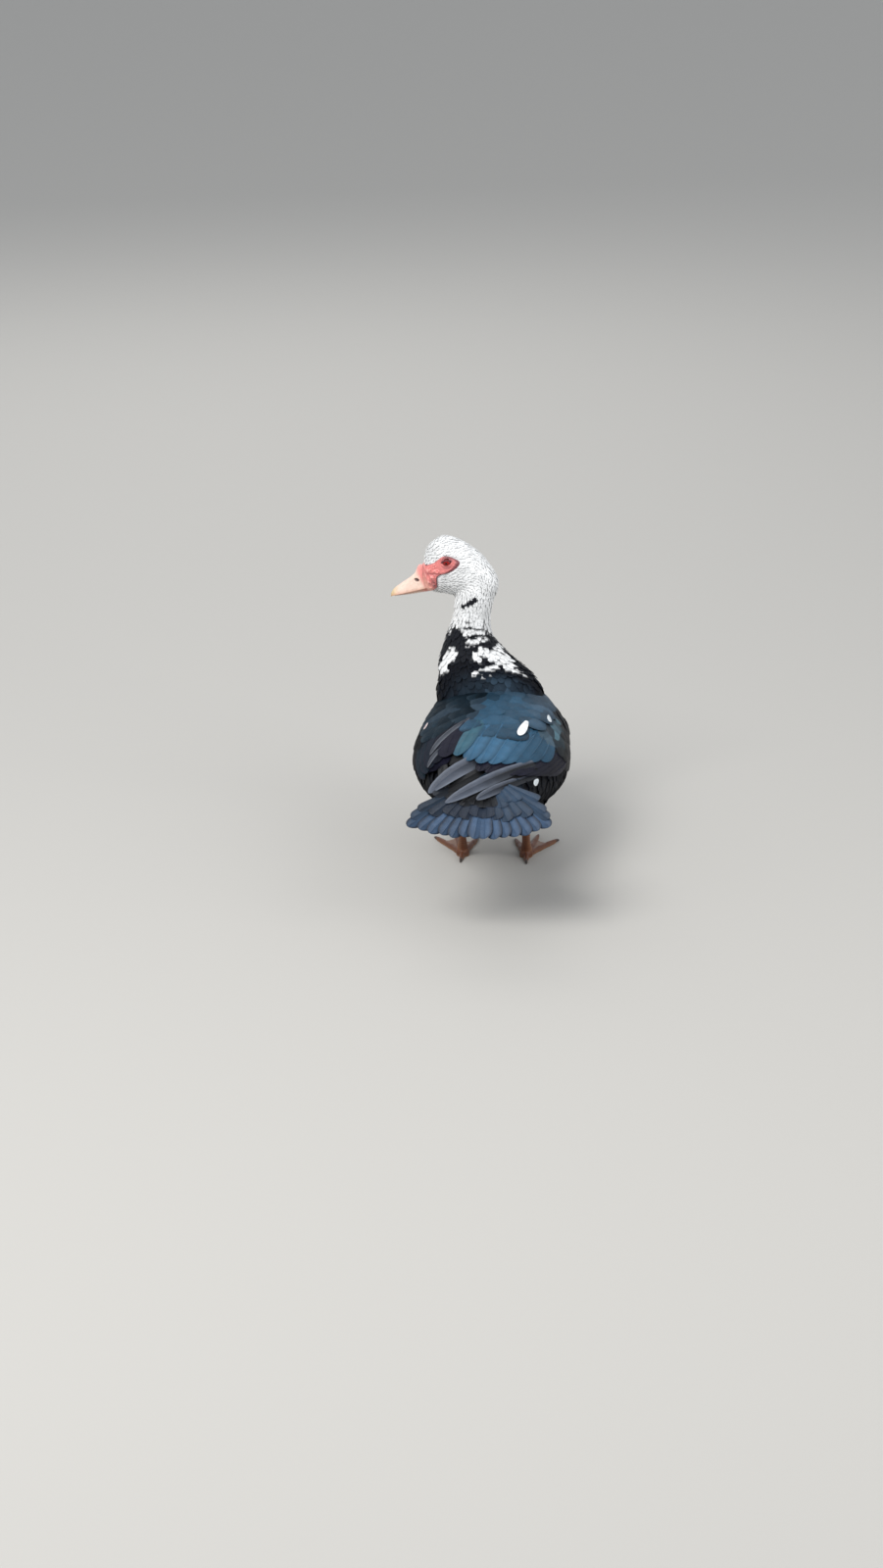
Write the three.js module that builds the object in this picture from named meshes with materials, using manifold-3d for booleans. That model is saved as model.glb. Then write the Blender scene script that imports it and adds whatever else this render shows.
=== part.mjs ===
// A standing muscovy hen at life size, as a museum shows one: pied, looking over to her left.
// Sizes are millimetres. She faces +Y, her right side is +X, +Z is up and the floor is Z = 0.
import * as THREE from "three";
import { mergeVertices } from "three/addons/utils/BufferGeometryUtils.js";
import Module from "manifold-3d";

const wasm = await Module();
wasm.setup();

const turn = Math.PI / 180; // one degree
const gap = 0.3; // left between nodes that touch
const left = -1;
const right = 1;
const sideName = { [left]: "left", [right]: "right" };

// Trunk, tail root to breast: y, back height, belly height, half width
const trunkRows = [
  [-178, 127, 127, 0],
  [-160, 137.5, 115, 28],
  [-130, 145, 99, 46],
  [-90, 152, 82, 62],
  [-45, 159, 64, 78],
  [5, 165, 53, 87],
  [55, 170, 53, 83],
  [100, 173, 63, 73],
  [138, 166, 85, 57],
  [166, 127, 127, 0],
];
const widestShare = 0.48; // how high up a section its widest level lies
const fullness = 0.96; // 1 is an ellipse, less is fuller
const trunkShift = -4.5; // the body stands a little left of the middle of its feet

// Neck, from deep in the chest to the skull: x, y, z, half width, half depth
const neckRows = [
  [-4, 66, 118, 50, 46],
  [-9, 92, 160, 60, 40],
  [-12, 99, 179, 52, 41],
  [-24.5, 108, 193, 43, 39],
  [-29.5, 113, 207, 34, 33],
  [-33, 117, 218, 27.5, 28],
  [-32.5, 118.5, 231, 23.5, 25],
  [-31.4, 118, 249, 20.5, 22.5],
  [-30.9, 116, 266, 21.5, 22],
  [-31.2, 115, 288, 19, 19],
];
const neckCuts = [180, 218, 262]; // heights where trunk, neck lengths and head part

// Head in its own frame: origin between the eyes, y along the gaze, z up through the crown
const headPlace = new THREE.Vector3(-57, 121.5, 311.9);
const headYaw = 79 * turn; // turned to her left
const headPitch = -11.5 * turn; // and bowed
// y, crown height, jaw height, half width
const headRows = [
  [-49, -32, -32, 0],
  [-44.5, -17, -49, 12],
  [-33, 2.5, -54, 17.5],
  [-14, 20, -50, 20.5],
  [4, 28, -43, 20.5],
  [16, 23.5, -39, 19],
  [26, 14, -36.5, 16.5],
  [33, 0, -34.5, 14],
  [41, -17, -17, 0],
];
const headWidestShare = 0.42;

// Bill, in the head's frame: y, ridge height, edge height, half width
const billRows = [
  [25, 0, -28, 13.5],
  [35, -4, -29, 12.2],
  [43.5, -8.8, -29.6, 11.2],
  [51.5, -14.6, -30.2, 10.6],
  [60, -21, -30.8, 10.6],
  [67, -26, -31.8, 10.2],
  [72.5, -30.5, -33.4, 7.6],
  [75.8, -34, -36, 2.4],
];
const lowerBillDepth = 6;
const lowerBillEnd = 72;
const billJoint = new THREE.Vector3(0, 30.5, -18); // on the plane where bill meets face
const billJointNormal = new THREE.Vector3(0, 0.978, -0.208);
const nostrilPlace = new THREE.Vector3(10.6, 42.5, -19.5);
const knobPlace = new THREE.Vector3(0, 41.5, -8.6);
const knobRadius = 4;

// Eye and bare face, in the head's frame
const eyeCentre = new THREE.Vector3(16.5, 0, 0);
const eyeRadius = 6.1;
const faceRise = 1.3; // of the bare skin over the feathered head
const faceDepth = 8.4; // from the middle of the head
// Outline of the bare skin round the eye and down the bill's base: y, z
const faceOutline = [
  [34, -1],
  [23, 3],
  [11, 5.8],
  [2, 7.9],
  [-5, 5.9],
  [-14, 0.2],
  [-13, -4.5],
  [-7, -9],
  [2, -12.2],
  [12, -13.6],
  [15.5, -18],
  [17.5, -25],
  [21, -30.5],
  [34, -30.5],
];
const lidRing = { radius: 4.9, tube: 1.15, stretch: 1.15 };
// Warty bulbs on the bare skin: y, z, radius
const bulbs = [
  [29, -1.5, 2],
  [25, -7, 1.9],
  [29, -12, 2.2],
  [21.5, -14.5, 1.9],
  [27, -19.5, 2.2],
  [21, -23, 1.9],
  [25.5, -27, 1.8],
  [16, -7.5, 1.6],
  [16, 1.5, 1.6],
  [-11, -2.5, 1.5],
];

// Wings on the trunk: y, upper edge, lower edge, thickness. Edges are degrees down from the top
// of the back, and the right wing crosses the middle of the rump
const wingRows = {
  [left]: [
    [104, 48, 72, 1.6],
    [92, 30, 94, 3],
    [50, 10, 100, 3.2],
    [0, 6, 90, 3.2],
    [-50, 9, 72, 3.2],
    [-76, 14, 62, 3.2],
    [-89, 18, 47, 3.2],
    [-104, 22, 44, 2.8],
  ],
  [right]: [
    [104, 48, 72, 1.6],
    [92, 30, 94, 3],
    [50, 10, 100, 3.2],
    [0, 3, 90, 3.2],
    [-50, -3, 72, 3.2],
    [-76, -7, 62, 3.2],
    [-89, -9, 47, 3.2],
    [-104, -10, 44, 2.8],
  ],
};
const scapularEnd = 4; // y where the scapular core ends on the back
const scapularEdge = 47; // degrees down from the top of the back
const scapularCore = 4.6; // thickness

// Feathers are thin blades: share of the full width at places from root to tip
const bladeWidth = [
  [0, 0.55],
  [0.3, 0.93],
  [0.6, 1],
  [0.85, 0.86],
  [1, 0.36],
];
const bladeThickness = 0.8;
const keel = 0.35; // rise of the shaft over the edges
const rootDepth = 1.6; // height of a sunk root over the trunk
// Tiers of a folded wing, front to back: root y, tip y, count, inner and outer angle, tip height
const wingTiers = [
  { root: 92, tip: 60, count: 4, inner: 52, outer: 90, drift: 2, lift: 4.6 },
  { root: 70, tip: 30, count: 5, inner: 51, outer: 96, drift: 1, lift: 4.6 },
  { root: 42, tip: -10, count: 4, inner: 51, outer: 92, drift: -2, lift: 4.8 },
];
// Long quills of the rear wing: root y, tip y, count, first and last angle, drift towards the tip
const quillTiers = {
  [left]: [
    { root: 4, tip: -78, count: 4, inner: 82, outer: 60, drift: -8, lift: 4.8, across: 26 },
    { root: -16, tip: -106, count: 4, inner: 50, outer: 22, drift: 2, lift: 6.6, across: 25 },
  ],
  [right]: [
    { root: 4, tip: -78, count: 4, inner: 82, outer: 60, drift: -8, lift: 4.8, across: 26 },
    { root: -16, tip: -112, count: 5, inner: 46, outer: 10, drift: -14, lift: 7.4, across: 26 },
  ],
};
// Scapulars in rows over the shoulder: root y, tip y, count, inner and outer angle, tip height
const scapularTiers = [
  { root: 84, tip: 62, count: 3, inner: 26, outer: 44, drift: 0, lift: 4.8 },
  { root: 66, tip: 34, count: 4, inner: 12, outer: 44, drift: 0, lift: 6.4 },
  { root: 50, tip: 2, count: 4, inner: 8, outer: 44, drift: 0, lift: 6.6 },
  { root: 24, tip: -44, count: 4, inner: 6, outer: 42, drift: -2, lift: 7 },
];

// Long primaries leave the rear edge of each wing, the right ones lying over the left. Each bends
// from its root past a middle to its tip, from the top one down
const primaryWidth = 15;
const primaries = {
  [left]: [
    { root: [-52, -92, 142], middle: [-52, -126, 146], tip: [-52, -160, 137] },
    { root: [-54, -93, 140.4], middle: [-52, -132, 143], tip: [-48, -170, 135] },
    { root: [-56, -94, 138.6], middle: [-51, -138, 140.5], tip: [-43, -178, 135] },
  ],
  [right]: [
    { root: [45, -92, 142], middle: [2, -122, 160], tip: [-58, -174, 140.5] },
    { root: [47, -93, 140.4], middle: [0, -130, 156], tip: [-50, -188, 138.2] },
    { root: [49, -94, 138.6], middle: [-2, -140, 151.5], tip: [-40, -200, 136.4] },
    { root: [52, -99, 130.5], middle: [22, -142, 150], tip: [-8, -188, 136] },
  ],
};
const primarySlope = 0.45; // the rear edge lies lower than the front one
// Bed of the roots on the side of the rump: y from and to, angles from and to, thickness
const primaryBed = { y: [-89.5, -106], angle: [49, 74], thickness: 4.8 };

// Tail fan
const tailCut = -142; // y where trunk and tail part
const fanPivot = new THREE.Vector3(-3.5, -118, 141);
const fanYaw = -0.5 * turn; // swung a little to her left
const fanDroop = 11 * turn;
const fanHalfAngle = 30 * turn;
const fanReach = 142;
const fanOuterReach = 150;
const fanStart = 31;
const quillCount = 15;
const quillWidth = 19;
const quillTilt = 1.9;
const outerLift = 0.0009; // how much the fan's sides curl up, per mm squared
// Share of a tail feather's width at places from root to tip
const fanWidth = [
  [0, 0.2],
  [0.35, 0.6],
  [0.65, 0.9],
  [0.88, 1],
  [1, 0.5],
];
const tailCoverts = { above: 7, below: 5, reach: 92, width: 17 };

// Legs: foot centres, ankle and toes
const footSpread = 36; // half the distance between the feet
const footTurn = 9 * turn; // toes out
const hockY = -24;
const hockTop = 50;
const toeReach = { inner: 46, middle: 60, outer: 55 };
const toeAngle = { inner: -25 * turn, middle: 1 * turn, outer: 25 * turn };
const webThickness = 2.2;
const hindToeReach = 17;
const clawLength = 9;

// Plumage and skin
const finish = (color, roughness) =>
  new THREE.MeshStandardMaterial({ color, roughness, metalness: 0 });
const blackFeather = finish("#1b1c22", 0.55);
const tealFeather = finish("#2f4a58", 0.45);
const slateFeather = finish("#4a5f7c", 0.5);
const greyFeather = finish("#5c5f68", 0.55);
const whiteFeather = finish("#f1f3f5", 0.7);
const piedFeather = finish("#8e9096", 0.65);
const redSkin = finish("#d4615c", 0.5);
const billHorn = finish("#f0cdb4", 0.4);
const eyeGloss = finish("#4a1712", 0.12);
const legSkin = finish("#8a5a36", 0.55);
const clawHorn = finish("#3a2c22", 0.4);

// A smooth curve through rows of [place, value, ...], returned as a function of the place
function curveThrough(rows) {
  const slope = (i, k) => {
    const a = rows[Math.max(i - 1, 0)];
    const b = rows[Math.min(i + 1, rows.length - 1)];
    return (b[k] - a[k]) / (b[0] - a[0]);
  };
  return (place) => {
    let i = 0;
    while (i < rows.length - 2 && place > rows[i + 1][0]) i++;
    const [a, b] = [rows[i], rows[i + 1]];
    const span = b[0] - a[0];
    const t = THREE.MathUtils.clamp((place - a[0]) / span, 0, 1);
    return a.slice(1).map((value, n) => {
      const k = n + 1;
      const [t2, t3] = [t * t, t * t * t];
      return (
        value * (2 * t3 - 3 * t2 + 1) +
        b[k] * (3 * t2 - 2 * t3) +
        span * (slope(i, k) * (t3 - 2 * t2 + t) + slope(i + 1, k) * (t3 - t2))
      );
    });
  };
}

// Rows keyed by the polar angle of their place, so that a closed end comes out round
function roundEnded(rows) {
  const [start, end] = [rows[0][0], rows.at(-1)[0]];
  const polar = (y) => Math.acos(THREE.MathUtils.clamp(1 - (2 * (y - start)) / (end - start), -1, 1));
  const byAngle = curveThrough(rows.map(([y, ...rest]) => [polar(y), ...rest]));
  return { start, end, polar, at: (y) => byAngle(polar(y)) };
}

// A closed mesh as a solid with its faces pointing out
function solid(geometry) {
  const bare = geometry.clone();
  bare.deleteAttribute("normal");
  bare.deleteAttribute("uv");
  const merged = mergeVertices(bare, 1e-4);
  const corners = [...merged.index.array];
  const kept = [];
  for (let i = 0; i < corners.length; i += 3) {
    const [a, b, c] = corners.slice(i, i + 3);
    if (a !== b && b !== c && c !== a) kept.push(a, b, c);
  }
  const make = (triVerts) =>
    new wasm.Manifold(
      new wasm.Mesh({
        numProp: 3,
        vertProperties: new Float32Array(merged.attributes.position.array),
        triVerts: new Uint32Array(triVerts),
      }),
    );
  const made = make(kept);
  if (made.volume() > 0) return made;
  for (let i = 0; i < kept.length; i += 3) [kept[i + 1], kept[i + 2]] = [kept[i + 2], kept[i + 1]];
  return make(kept);
}

function meshOf(points, faces) {
  const geometry = new THREE.BufferGeometry();
  geometry.setAttribute("position", new THREE.Float32BufferAttribute(points.flatMap((p) => p.toArray()), 3));
  geometry.setIndex(faces);
  return solid(geometry);
}

// Rings of points skinned into one closed body. A ring of one point is a closed end
function loft(rings) {
  const points = [];
  const faces = [];
  const starts = rings.map((ring) => {
    points.push(...ring);
    return points.length - ring.length;
  });
  const fan = (ring, start) => {
    const middle = new THREE.Vector3();
    ring.forEach((p) => middle.addScaledVector(p, 1 / ring.length));
    points.push(middle);
    return ring.map((_, j) => [points.length - 1, start + j, start + ((j + 1) % ring.length)]);
  };
  for (let i = 0; i + 1 < rings.length; i++) {
    const [a, b] = [rings[i], rings[i + 1]];
    const n = Math.max(a.length, b.length);
    for (let j = 0; j < n; j++) {
      const k = (j + 1) % n;
      const at = (ring, start, m) => start + (ring.length === 1 ? 0 : m);
      const [p, q] = [at(a, starts[i], j), at(a, starts[i], k)];
      const [r, s] = [at(b, starts[i + 1], j), at(b, starts[i + 1], k)];
      faces.push(p, q, s, p, s, r);
    }
  }
  if (rings[0].length > 1) fan(rings[0], starts[0]).forEach(([m, a, b]) => faces.push(m, b, a));
  if (rings.at(-1).length > 1) fan(rings.at(-1), starts.at(-1)).forEach(([m, a, b]) => faces.push(m, a, b));
  return meshOf(points, faces);
}

const steps = (n) => Array.from({ length: n + 1 }, (_, i) => i / n);

// A thin closed plate between two sheets, split into triangles alike on both faces
function plate(us, vs, place) {
  const points = [];
  const faces = [];
  const [along, across] = [us.length - 1, vs.length - 1];
  const row = across + 1;
  const sheet = (along + 1) * row;
  for (const top of [true, false]) for (const u of us) for (const v of vs) points.push(place(u, v, top));
  for (let i = 0; i < along; i++)
    for (let j = 0; j < across; j++) {
      const [a, b, c, d] = [i * row + j, (i + 1) * row + j, (i + 1) * row + j + 1, i * row + j + 1];
      faces.push(a, b, c, a, c, d);
      faces.push(sheet + a, sheet + c, sheet + b, sheet + a, sheet + d, sheet + c);
    }
  const rim = [];
  for (let i = 0; i < along; i++) rim.push([i * row, (i + 1) * row]);
  for (let j = 0; j < across; j++) rim.push([along * row + j, along * row + j + 1]);
  for (let i = along; i > 0; i--) rim.push([i * row + across, (i - 1) * row + across]);
  for (let j = across; j > 0; j--) rim.push([j, j - 1]);
  rim.forEach(([a, b]) => faces.push(b, a, sheet + a, b, sheet + a, sheet + b));
  return meshOf(points, faces);
}

const union = (solids) => wasm.Manifold.union(solids);
const fineness = 0.04; // slivers below this size are merged away
const largest = (made) =>
  made
    .asOriginal()
    .simplify(fineness)
    .decompose()
    .reduce((best, piece) => (piece.volume() > best.volume() ? piece : best));

// What is left of a solid on the side of a plane that its normal points to
function beyond(made, point, normal, clear = gap / 2) {
  const n = normal.clone().normalize();
  return made.trimByPlane(n.toArray(), n.dot(point) + clear);
}

// Trunk surface: the point at y, at an angle from the top of the back towards her right, raised by rise
const trunk = roundEnded(trunkRows);
function trunkSection(y, angle) {
  const [back, belly, half] = trunk.at(y);
  const level = belly + widestShare * (back - belly);
  const [s, c] = [Math.sin(angle), Math.cos(angle)];
  const full = (v) => Math.sign(v) * Math.abs(v) ** fullness;
  return new THREE.Vector3(trunkShift + half * full(s), y, level + (c > 0 ? back - level : level - belly) * full(c));
}
function trunkPoint(y, angle, rise = 0) {
  const point = trunkSection(y, angle);
  if (!rise) return point;
  const step = 0.5;
  const [fore, aft] = [Math.min(y + step, trunk.end - 0.01), Math.max(y - step, trunk.start + 0.01)];
  const along = trunkSection(fore, angle).sub(trunkSection(aft, angle));
  const round = trunkSection(y, angle + step * turn).sub(trunkSection(y, angle - step * turn));
  return point.addScaledVector(round.cross(along).normalize(), rise);
}
function trunkBody(rise) {
  const [along, around] = [18, 20];
  const end = (y, z) => [new THREE.Vector3(trunkShift, y, z)];
  const rings = [end(trunk.start - rise, trunk.at(trunk.start)[0])];
  for (let i = 1; i < along; i++) {
    const y = (trunk.start + trunk.end) / 2 - ((trunk.end - trunk.start) / 2) * Math.cos((Math.PI * i) / along);
    rings.push(Array.from({ length: around }, (_, j) => trunkPoint(y, (j / around) * 2 * Math.PI, rise)));
  }
  rings.push(end(trunk.end + rise, trunk.at(trunk.end)[0]));
  return loft(rings);
}

// Neck: level rings through the neck's rows
const neckByHeight = curveThrough(neckRows.map(([x, y, z, w, d]) => [z, x, y, w, d]));
function neckRing(z, rise) {
  const [x, y, half, deep] = neckByHeight(z);
  return Array.from({ length: 20 }, (_, j) => {
    const a = (j / 20) * 2 * Math.PI;
    return new THREE.Vector3(x + (half + rise) * Math.sin(a), y + (deep + rise) * Math.cos(a), z);
  });
}
function neckBody(rise) {
  const rings = [];
  const [low, high] = [neckRows[0][2], neckRows.at(-1)[2]];
  for (let i = 0; i <= 16; i++) rings.push(neckRing(low + ((high - low) * i) / 16, rise));
  return loft(rings);
}

// Head surface in its own frame
const skull = roundEnded(headRows);
function headPoint(y, angle, rise = 0) {
  const [crown, jaw, half] = skull.at(y);
  const level = jaw + headWidestShare * (crown - jaw);
  const [s, c] = [Math.sin(angle), Math.cos(angle)];
  return new THREE.Vector3((half + rise) * s, y, level + ((c > 0 ? crown - level : level - jaw) + rise) * c);
}
function headBody(rise) {
  const [along, around] = [16, 20];
  const rings = [[new THREE.Vector3(0, skull.start - rise, headRows[0][1])]];
  for (let i = 1; i < along; i++) {
    const y = (skull.start + skull.end) / 2 - ((skull.end - skull.start) / 2) * Math.cos((Math.PI * i) / along);
    rings.push(Array.from({ length: around }, (_, j) => headPoint(y, (j / around) * 2 * Math.PI, rise)));
  }
  rings.push([new THREE.Vector3(0, skull.end + rise, headRows.at(-1)[1])]);
  return loft(rings);
}

const duck = new THREE.Group();
const headGroup = new THREE.Group();
headGroup.position.copy(headPlace);
headGroup.rotation.set(headPitch, 0, headYaw, "ZXY");
headGroup.updateMatrix();
duck.add(headGroup);

function addNode(name, made, material, parent = duck) {
  const whole = largest(made);
  const { vertProperties, triVerts } = whole.getMesh();
  const geometry = new THREE.BufferGeometry();
  geometry.setAttribute("position", new THREE.BufferAttribute(vertProperties, 3));
  geometry.setIndex(new THREE.BufferAttribute(triVerts, 1));
  geometry.computeVertexNormals();
  const mesh = new THREE.Mesh(geometry, material);
  mesh.name = name;
  parent.add(mesh);
}

const toHead = headGroup.matrix.clone().invert();
const moved = (made, matrix) => made.transform(matrix.toArray());

// Torso, neck and head are one body, parted by thin level cuts
const flesh = union([trunkBody(0), neckBody(0), moved(headBody(0), headGroup.matrix)]);
const up = new THREE.Vector3(0, 0, 1);
const down = new THREE.Vector3(0, 0, -1);
const level = (z) => new THREE.Vector3(0, 0, z);
const [neckFoot, neckMiddle, neckTop] = neckCuts.map(level);
const tailPlane = new THREE.Vector3(0, tailCut, 0);
const ahead = new THREE.Vector3(0, 1, 0);
const behind = new THREE.Vector3(0, -1, 0);

addNode("torso", beyond(beyond(flesh, neckFoot, down), tailPlane, ahead), blackFeather);
addNode("neck_lower", beyond(beyond(flesh, neckFoot, up), neckMiddle, down), piedFeather);
addNode("neck_upper", beyond(beyond(flesh, neckMiddle, up), neckTop, down), whiteFeather);

// The bill: a vaulted upper half on a flat edge, and a shallow tray below it
const billAt = curveThrough(billRows);
function upperBillRing(y) {
  const [ridge, edge, half] = billAt(y);
  const ring = Array.from({ length: 11 }, (_, j) => {
    const a = (j / 10 - 0.5) * Math.PI;
    return new THREE.Vector3(half * Math.sin(a), y, edge + (ridge - edge) * Math.cos(a));
  });
  return [...ring, new THREE.Vector3(0, y, edge)];
}
function upperBill() {
  const places = [24, 31, 38, 45, 52, 59, 65, 69.5, 72.5, 74.7, 75.8];
  return loft(places.map(upperBillRing));
}
function lowerBill() {
  const places = [22, 32, 42, 52, 60, 66, 70, lowerBillEnd];
  return loft(
    places.map((y) => {
      const [, edge, half] = billAt(y);
      const t = (y - 22) / (lowerBillEnd - 22);
      const depth = lowerBillDepth * (1 - 0.6 * t);
      const wide = (half - 0.8) * (1 - 0.45 * t ** 6);
      return Array.from({ length: 8 }, (_, j) => {
        const a = (j / 7 - 0.5) * Math.PI;
        return new THREE.Vector3(wide * Math.sin(a), y, edge - gap - depth * Math.cos(a));
      });
    }),
  );
}
function ball(centre, radius, wide = 10, high = 8, stretch = new THREE.Vector3(1, 1, 1)) {
  const geometry = new THREE.SphereGeometry(radius, wide, high);
  geometry.scale(stretch.x, stretch.y, stretch.z);
  geometry.translate(centre.x, centre.y, centre.z);
  return solid(geometry);
}
const mirrored = (v, side) => new THREE.Vector3(v.x * side, v.y, v.z);
const nostrils = [left, right].map((side) =>
  ball(mirrored(nostrilPlace, side), 3, 8, 6, new THREE.Vector3(1, 1.3, 0.55)),
);
const vault = union([upperBill(), ball(knobPlace, knobRadius, 8, 6)]);
const billUpper = beyond(vault, billJoint, billJointNormal).subtract(union(nostrils));
const billLower = beyond(lowerBill(), billJoint, billJointNormal);
addNode("bill_upper", billUpper, billHorn, headGroup);
addNode("bill_lower", billLower, billHorn, headGroup);

// The bare face is let into the side of the head, from the bill's base back round the eye
function faceBlock(side, grow) {
  const spline = new THREE.CatmullRomCurve3(
    faceOutline.map(([y, z]) => new THREE.Vector3(y, z, 0)),
    true,
  );
  const rim = spline.getPoints(20).slice(0, -1);
  const outward = -Math.sign(THREE.ShapeUtils.area(rim)) * grow;
  const grown = rim.map((p, i) => {
    const along = rim[(i + 1) % rim.length].clone().sub(rim.at(i - 1)).normalize();
    return new THREE.Vector2(p.x - along.y * outward, p.y + along.x * outward);
  });
  const shape = new THREE.Shape(grown);
  const geometry = new THREE.ExtrudeGeometry(shape, { depth: 24, bevelEnabled: false });
  const block = new THREE.Matrix4().set(0, 0, side, side * (faceDepth - grow), 1, 0, 0, 0, 0, 1, 0, 0, 0, 0, 0, 1);
  geometry.applyMatrix4(block);
  return solid(geometry);
}
const headSolid = moved(beyond(flesh, neckTop, up), toHead);
const headBehindBill = beyond(headSolid, billJoint, billJointNormal.clone().negate());
const faceBlocks = union([faceBlock(left, gap), faceBlock(right, gap)]);
addNode("head", headBehindBill.subtract(faceBlocks), whiteFeather, headGroup);

// Half width of the head's surface at a y and z
function headSide(y, z) {
  const [crown, jaw, half] = skull.at(y);
  const level = jaw + headWidestShare * (crown - jaw);
  return half * Math.sqrt(Math.max(0, 1 - ((z - level) / (z > level ? crown - level : level - jaw)) ** 2));
}
function lid(centre, side) {
  const geometry = new THREE.TorusGeometry(lidRing.radius, lidRing.tube, 5, 14);
  geometry.rotateY(Math.PI / 2);
  geometry.scale(1, lidRing.stretch, 1);
  geometry.translate(side * (headSide(0, 0) + faceRise), centre.y, centre.z);
  return solid(geometry);
}
for (const side of [left, right]) {
  const centre = mirrored(eyeCentre, side);
  const socket = ball(centre, eyeRadius + gap, 14, 10);
  const warts = bulbs.map(([y, z, radius]) =>
    ball(new THREE.Vector3(side * (headSide(y, z) + faceRise * 0.6), y, z), radius, 6, 4),
  );
  const skin = union([headBody(faceRise), lid(centre, side), ...warts]);
  const face = beyond(faceBlock(side, 0).intersect(skin), billJoint, billJointNormal.clone().negate()).subtract(socket);
  addNode(`face_${sideName[side]}`, face, redSkin, headGroup);
  addNode(`eye_${sideName[side]}`, ball(centre, eyeRadius, 12, 9), eyeGloss, headGroup);
}

// A feather is a thin blade, keeled along its shaft. The place function says where a point
// across (mm) and along (share) goes at a height over its bed
function blade(width, across, tilt, place, outline = bladeWidth) {
  const shares = new Map(outline);
  return plate([...shares.keys()], steps(across), (u, v, top) => {
    const share = shares.get(u);
    const off = v - 0.5;
    const rise = (across > 1 ? keel * (1 - 2 * Math.abs(off)) : 0) + tilt * off * share;
    const half = (bladeThickness / 2) * (top ? 1 : -1);
    return place(off * width * share, u, rise + half);
  });
}

// A blade that follows the trunk from a root to a tip, each a y and an angle in degrees
function drapedBlade(side, root, tip, width, lift, across = 1, tilt = 0, depth = rootDepth) {
  return blade(width, across, tilt, (off, u, rise) => {
    const y = root[0] + (tip[0] - root[0]) * u;
    const angle = root[1] + (tip[1] - root[1]) * u;
    const degree = trunkPoint(y, (angle + 1) * turn).distanceTo(trunkPoint(y, angle * turn));
    return trunkPoint(y, (angle + off / degree) * turn * side, depth + (lift - depth) * u + rise);
  });
}

// A tier of short feathers side by side, clear of each other
function covertTier(side, { root, tip, count, inner, outer, drift, lift }, shift, depth) {
  const pitch = (outer - inner) / count;
  return Array.from({ length: count }, (_, i) => {
    const angle = inner + pitch * (i + 0.5 + shift);
    const middle = (root + tip) / 2;
    const degree = trunkPoint(middle, (angle + 1) * turn).distanceTo(trunkPoint(middle, angle * turn));
    const back = ((i % 2) - 0.5) * 3;
    return drapedBlade(side, [root, angle], [tip + back, angle + drift], pitch * degree - 0.5, lift, 1, 0, depth);
  });
}

// A tier of long quills, each overlapping the next one inward
function quillTier(side, { root, tip, count, inner, outer, drift, lift, across }) {
  return Array.from({ length: count }, (_, i) => {
    const angle = inner + ((outer - inner) * i) / (count - 1);
    const far = tip + (count - 1 - i) * 5;
    return drapedBlade(side, [root - i * 2, angle], [far, angle + drift], across, lift, 2, -2.2);
  });
}

// Wings lie on the trunk as thin cores that follow it, with their feathers in tiers
const fleshClear = union([trunkBody(gap), neckBody(gap)]);
function wingCore(side, grow) {
  const rows = wingRows[side];
  const at = curveThrough(rows.map(([y, ...rest]) => [-y, ...rest]));
  const [front, rear] = [rows[0][0] + grow, rows.at(-1)[0] - grow];
  return plate(steps(11), steps(6), (u, v, top) => {
    const y = front + (rear - front) * u;
    const [upper, lower, thick] = at(-y);
    const spread = grow / 1.2;
    const angle = upper - spread + (lower - upper + 2 * spread) * v;
    const crown = 1 - (2 * v - 1) ** 4;
    return trunkPoint(y, angle * turn * side, top ? 1 + (thick - 1) * crown + grow : -3);
  });
}
function scapularBlock(side, grow) {
  const [front, rear] = [wingRows[side][0][0] + 12, scapularEnd - grow];
  const outer = scapularEdge + grow / 1.4;
  return plate(steps(8), steps(6), (u, v, top) => {
    const angle = 0.5 + (outer - 0.5) * v;
    return trunkPoint(front + (rear - front) * u, angle * turn * side, top ? 16 : -6);
  });
}
function scapularBed(side) {
  return plate(steps(8), steps(6), (u, v, top) => {
    const y = 104 + (scapularEnd - 104) * u;
    const inner = 3 + 26 * Math.max(0, (y - 60) / 44) ** 2;
    const angle = inner + (scapularEdge - inner) * v;
    return trunkPoint(y, angle * turn * side, top ? 1 + (scapularCore - 1) * Math.min(1, 6 * u) : -3);
  });
}
for (const side of [left, right]) {
  const name = sideName[side];
  const bed = scapularBed(side).intersect(scapularBlock(side, 0));
  const rows = scapularTiers.flatMap((tier, i) => covertTier(side, tier, i % 2 ? 0 : 0.12, 3.2));
  addNode(`scapulars_${name}`, union([bed, ...rows]).subtract(fleshClear), tealFeather);
  const core = wingCore(side, 0).subtract(scapularBlock(side, gap));
  const coverts = wingTiers.flatMap((tier, i) => covertTier(side, tier, i % 2 ? 0.25 : 0));
  const quills = quillTiers[side].flatMap((tier) => quillTier(side, tier));
  addNode(`wing_${name}`, union([core, ...coverts, ...quills]).subtract(fleshClear), tealFeather);
}

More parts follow.
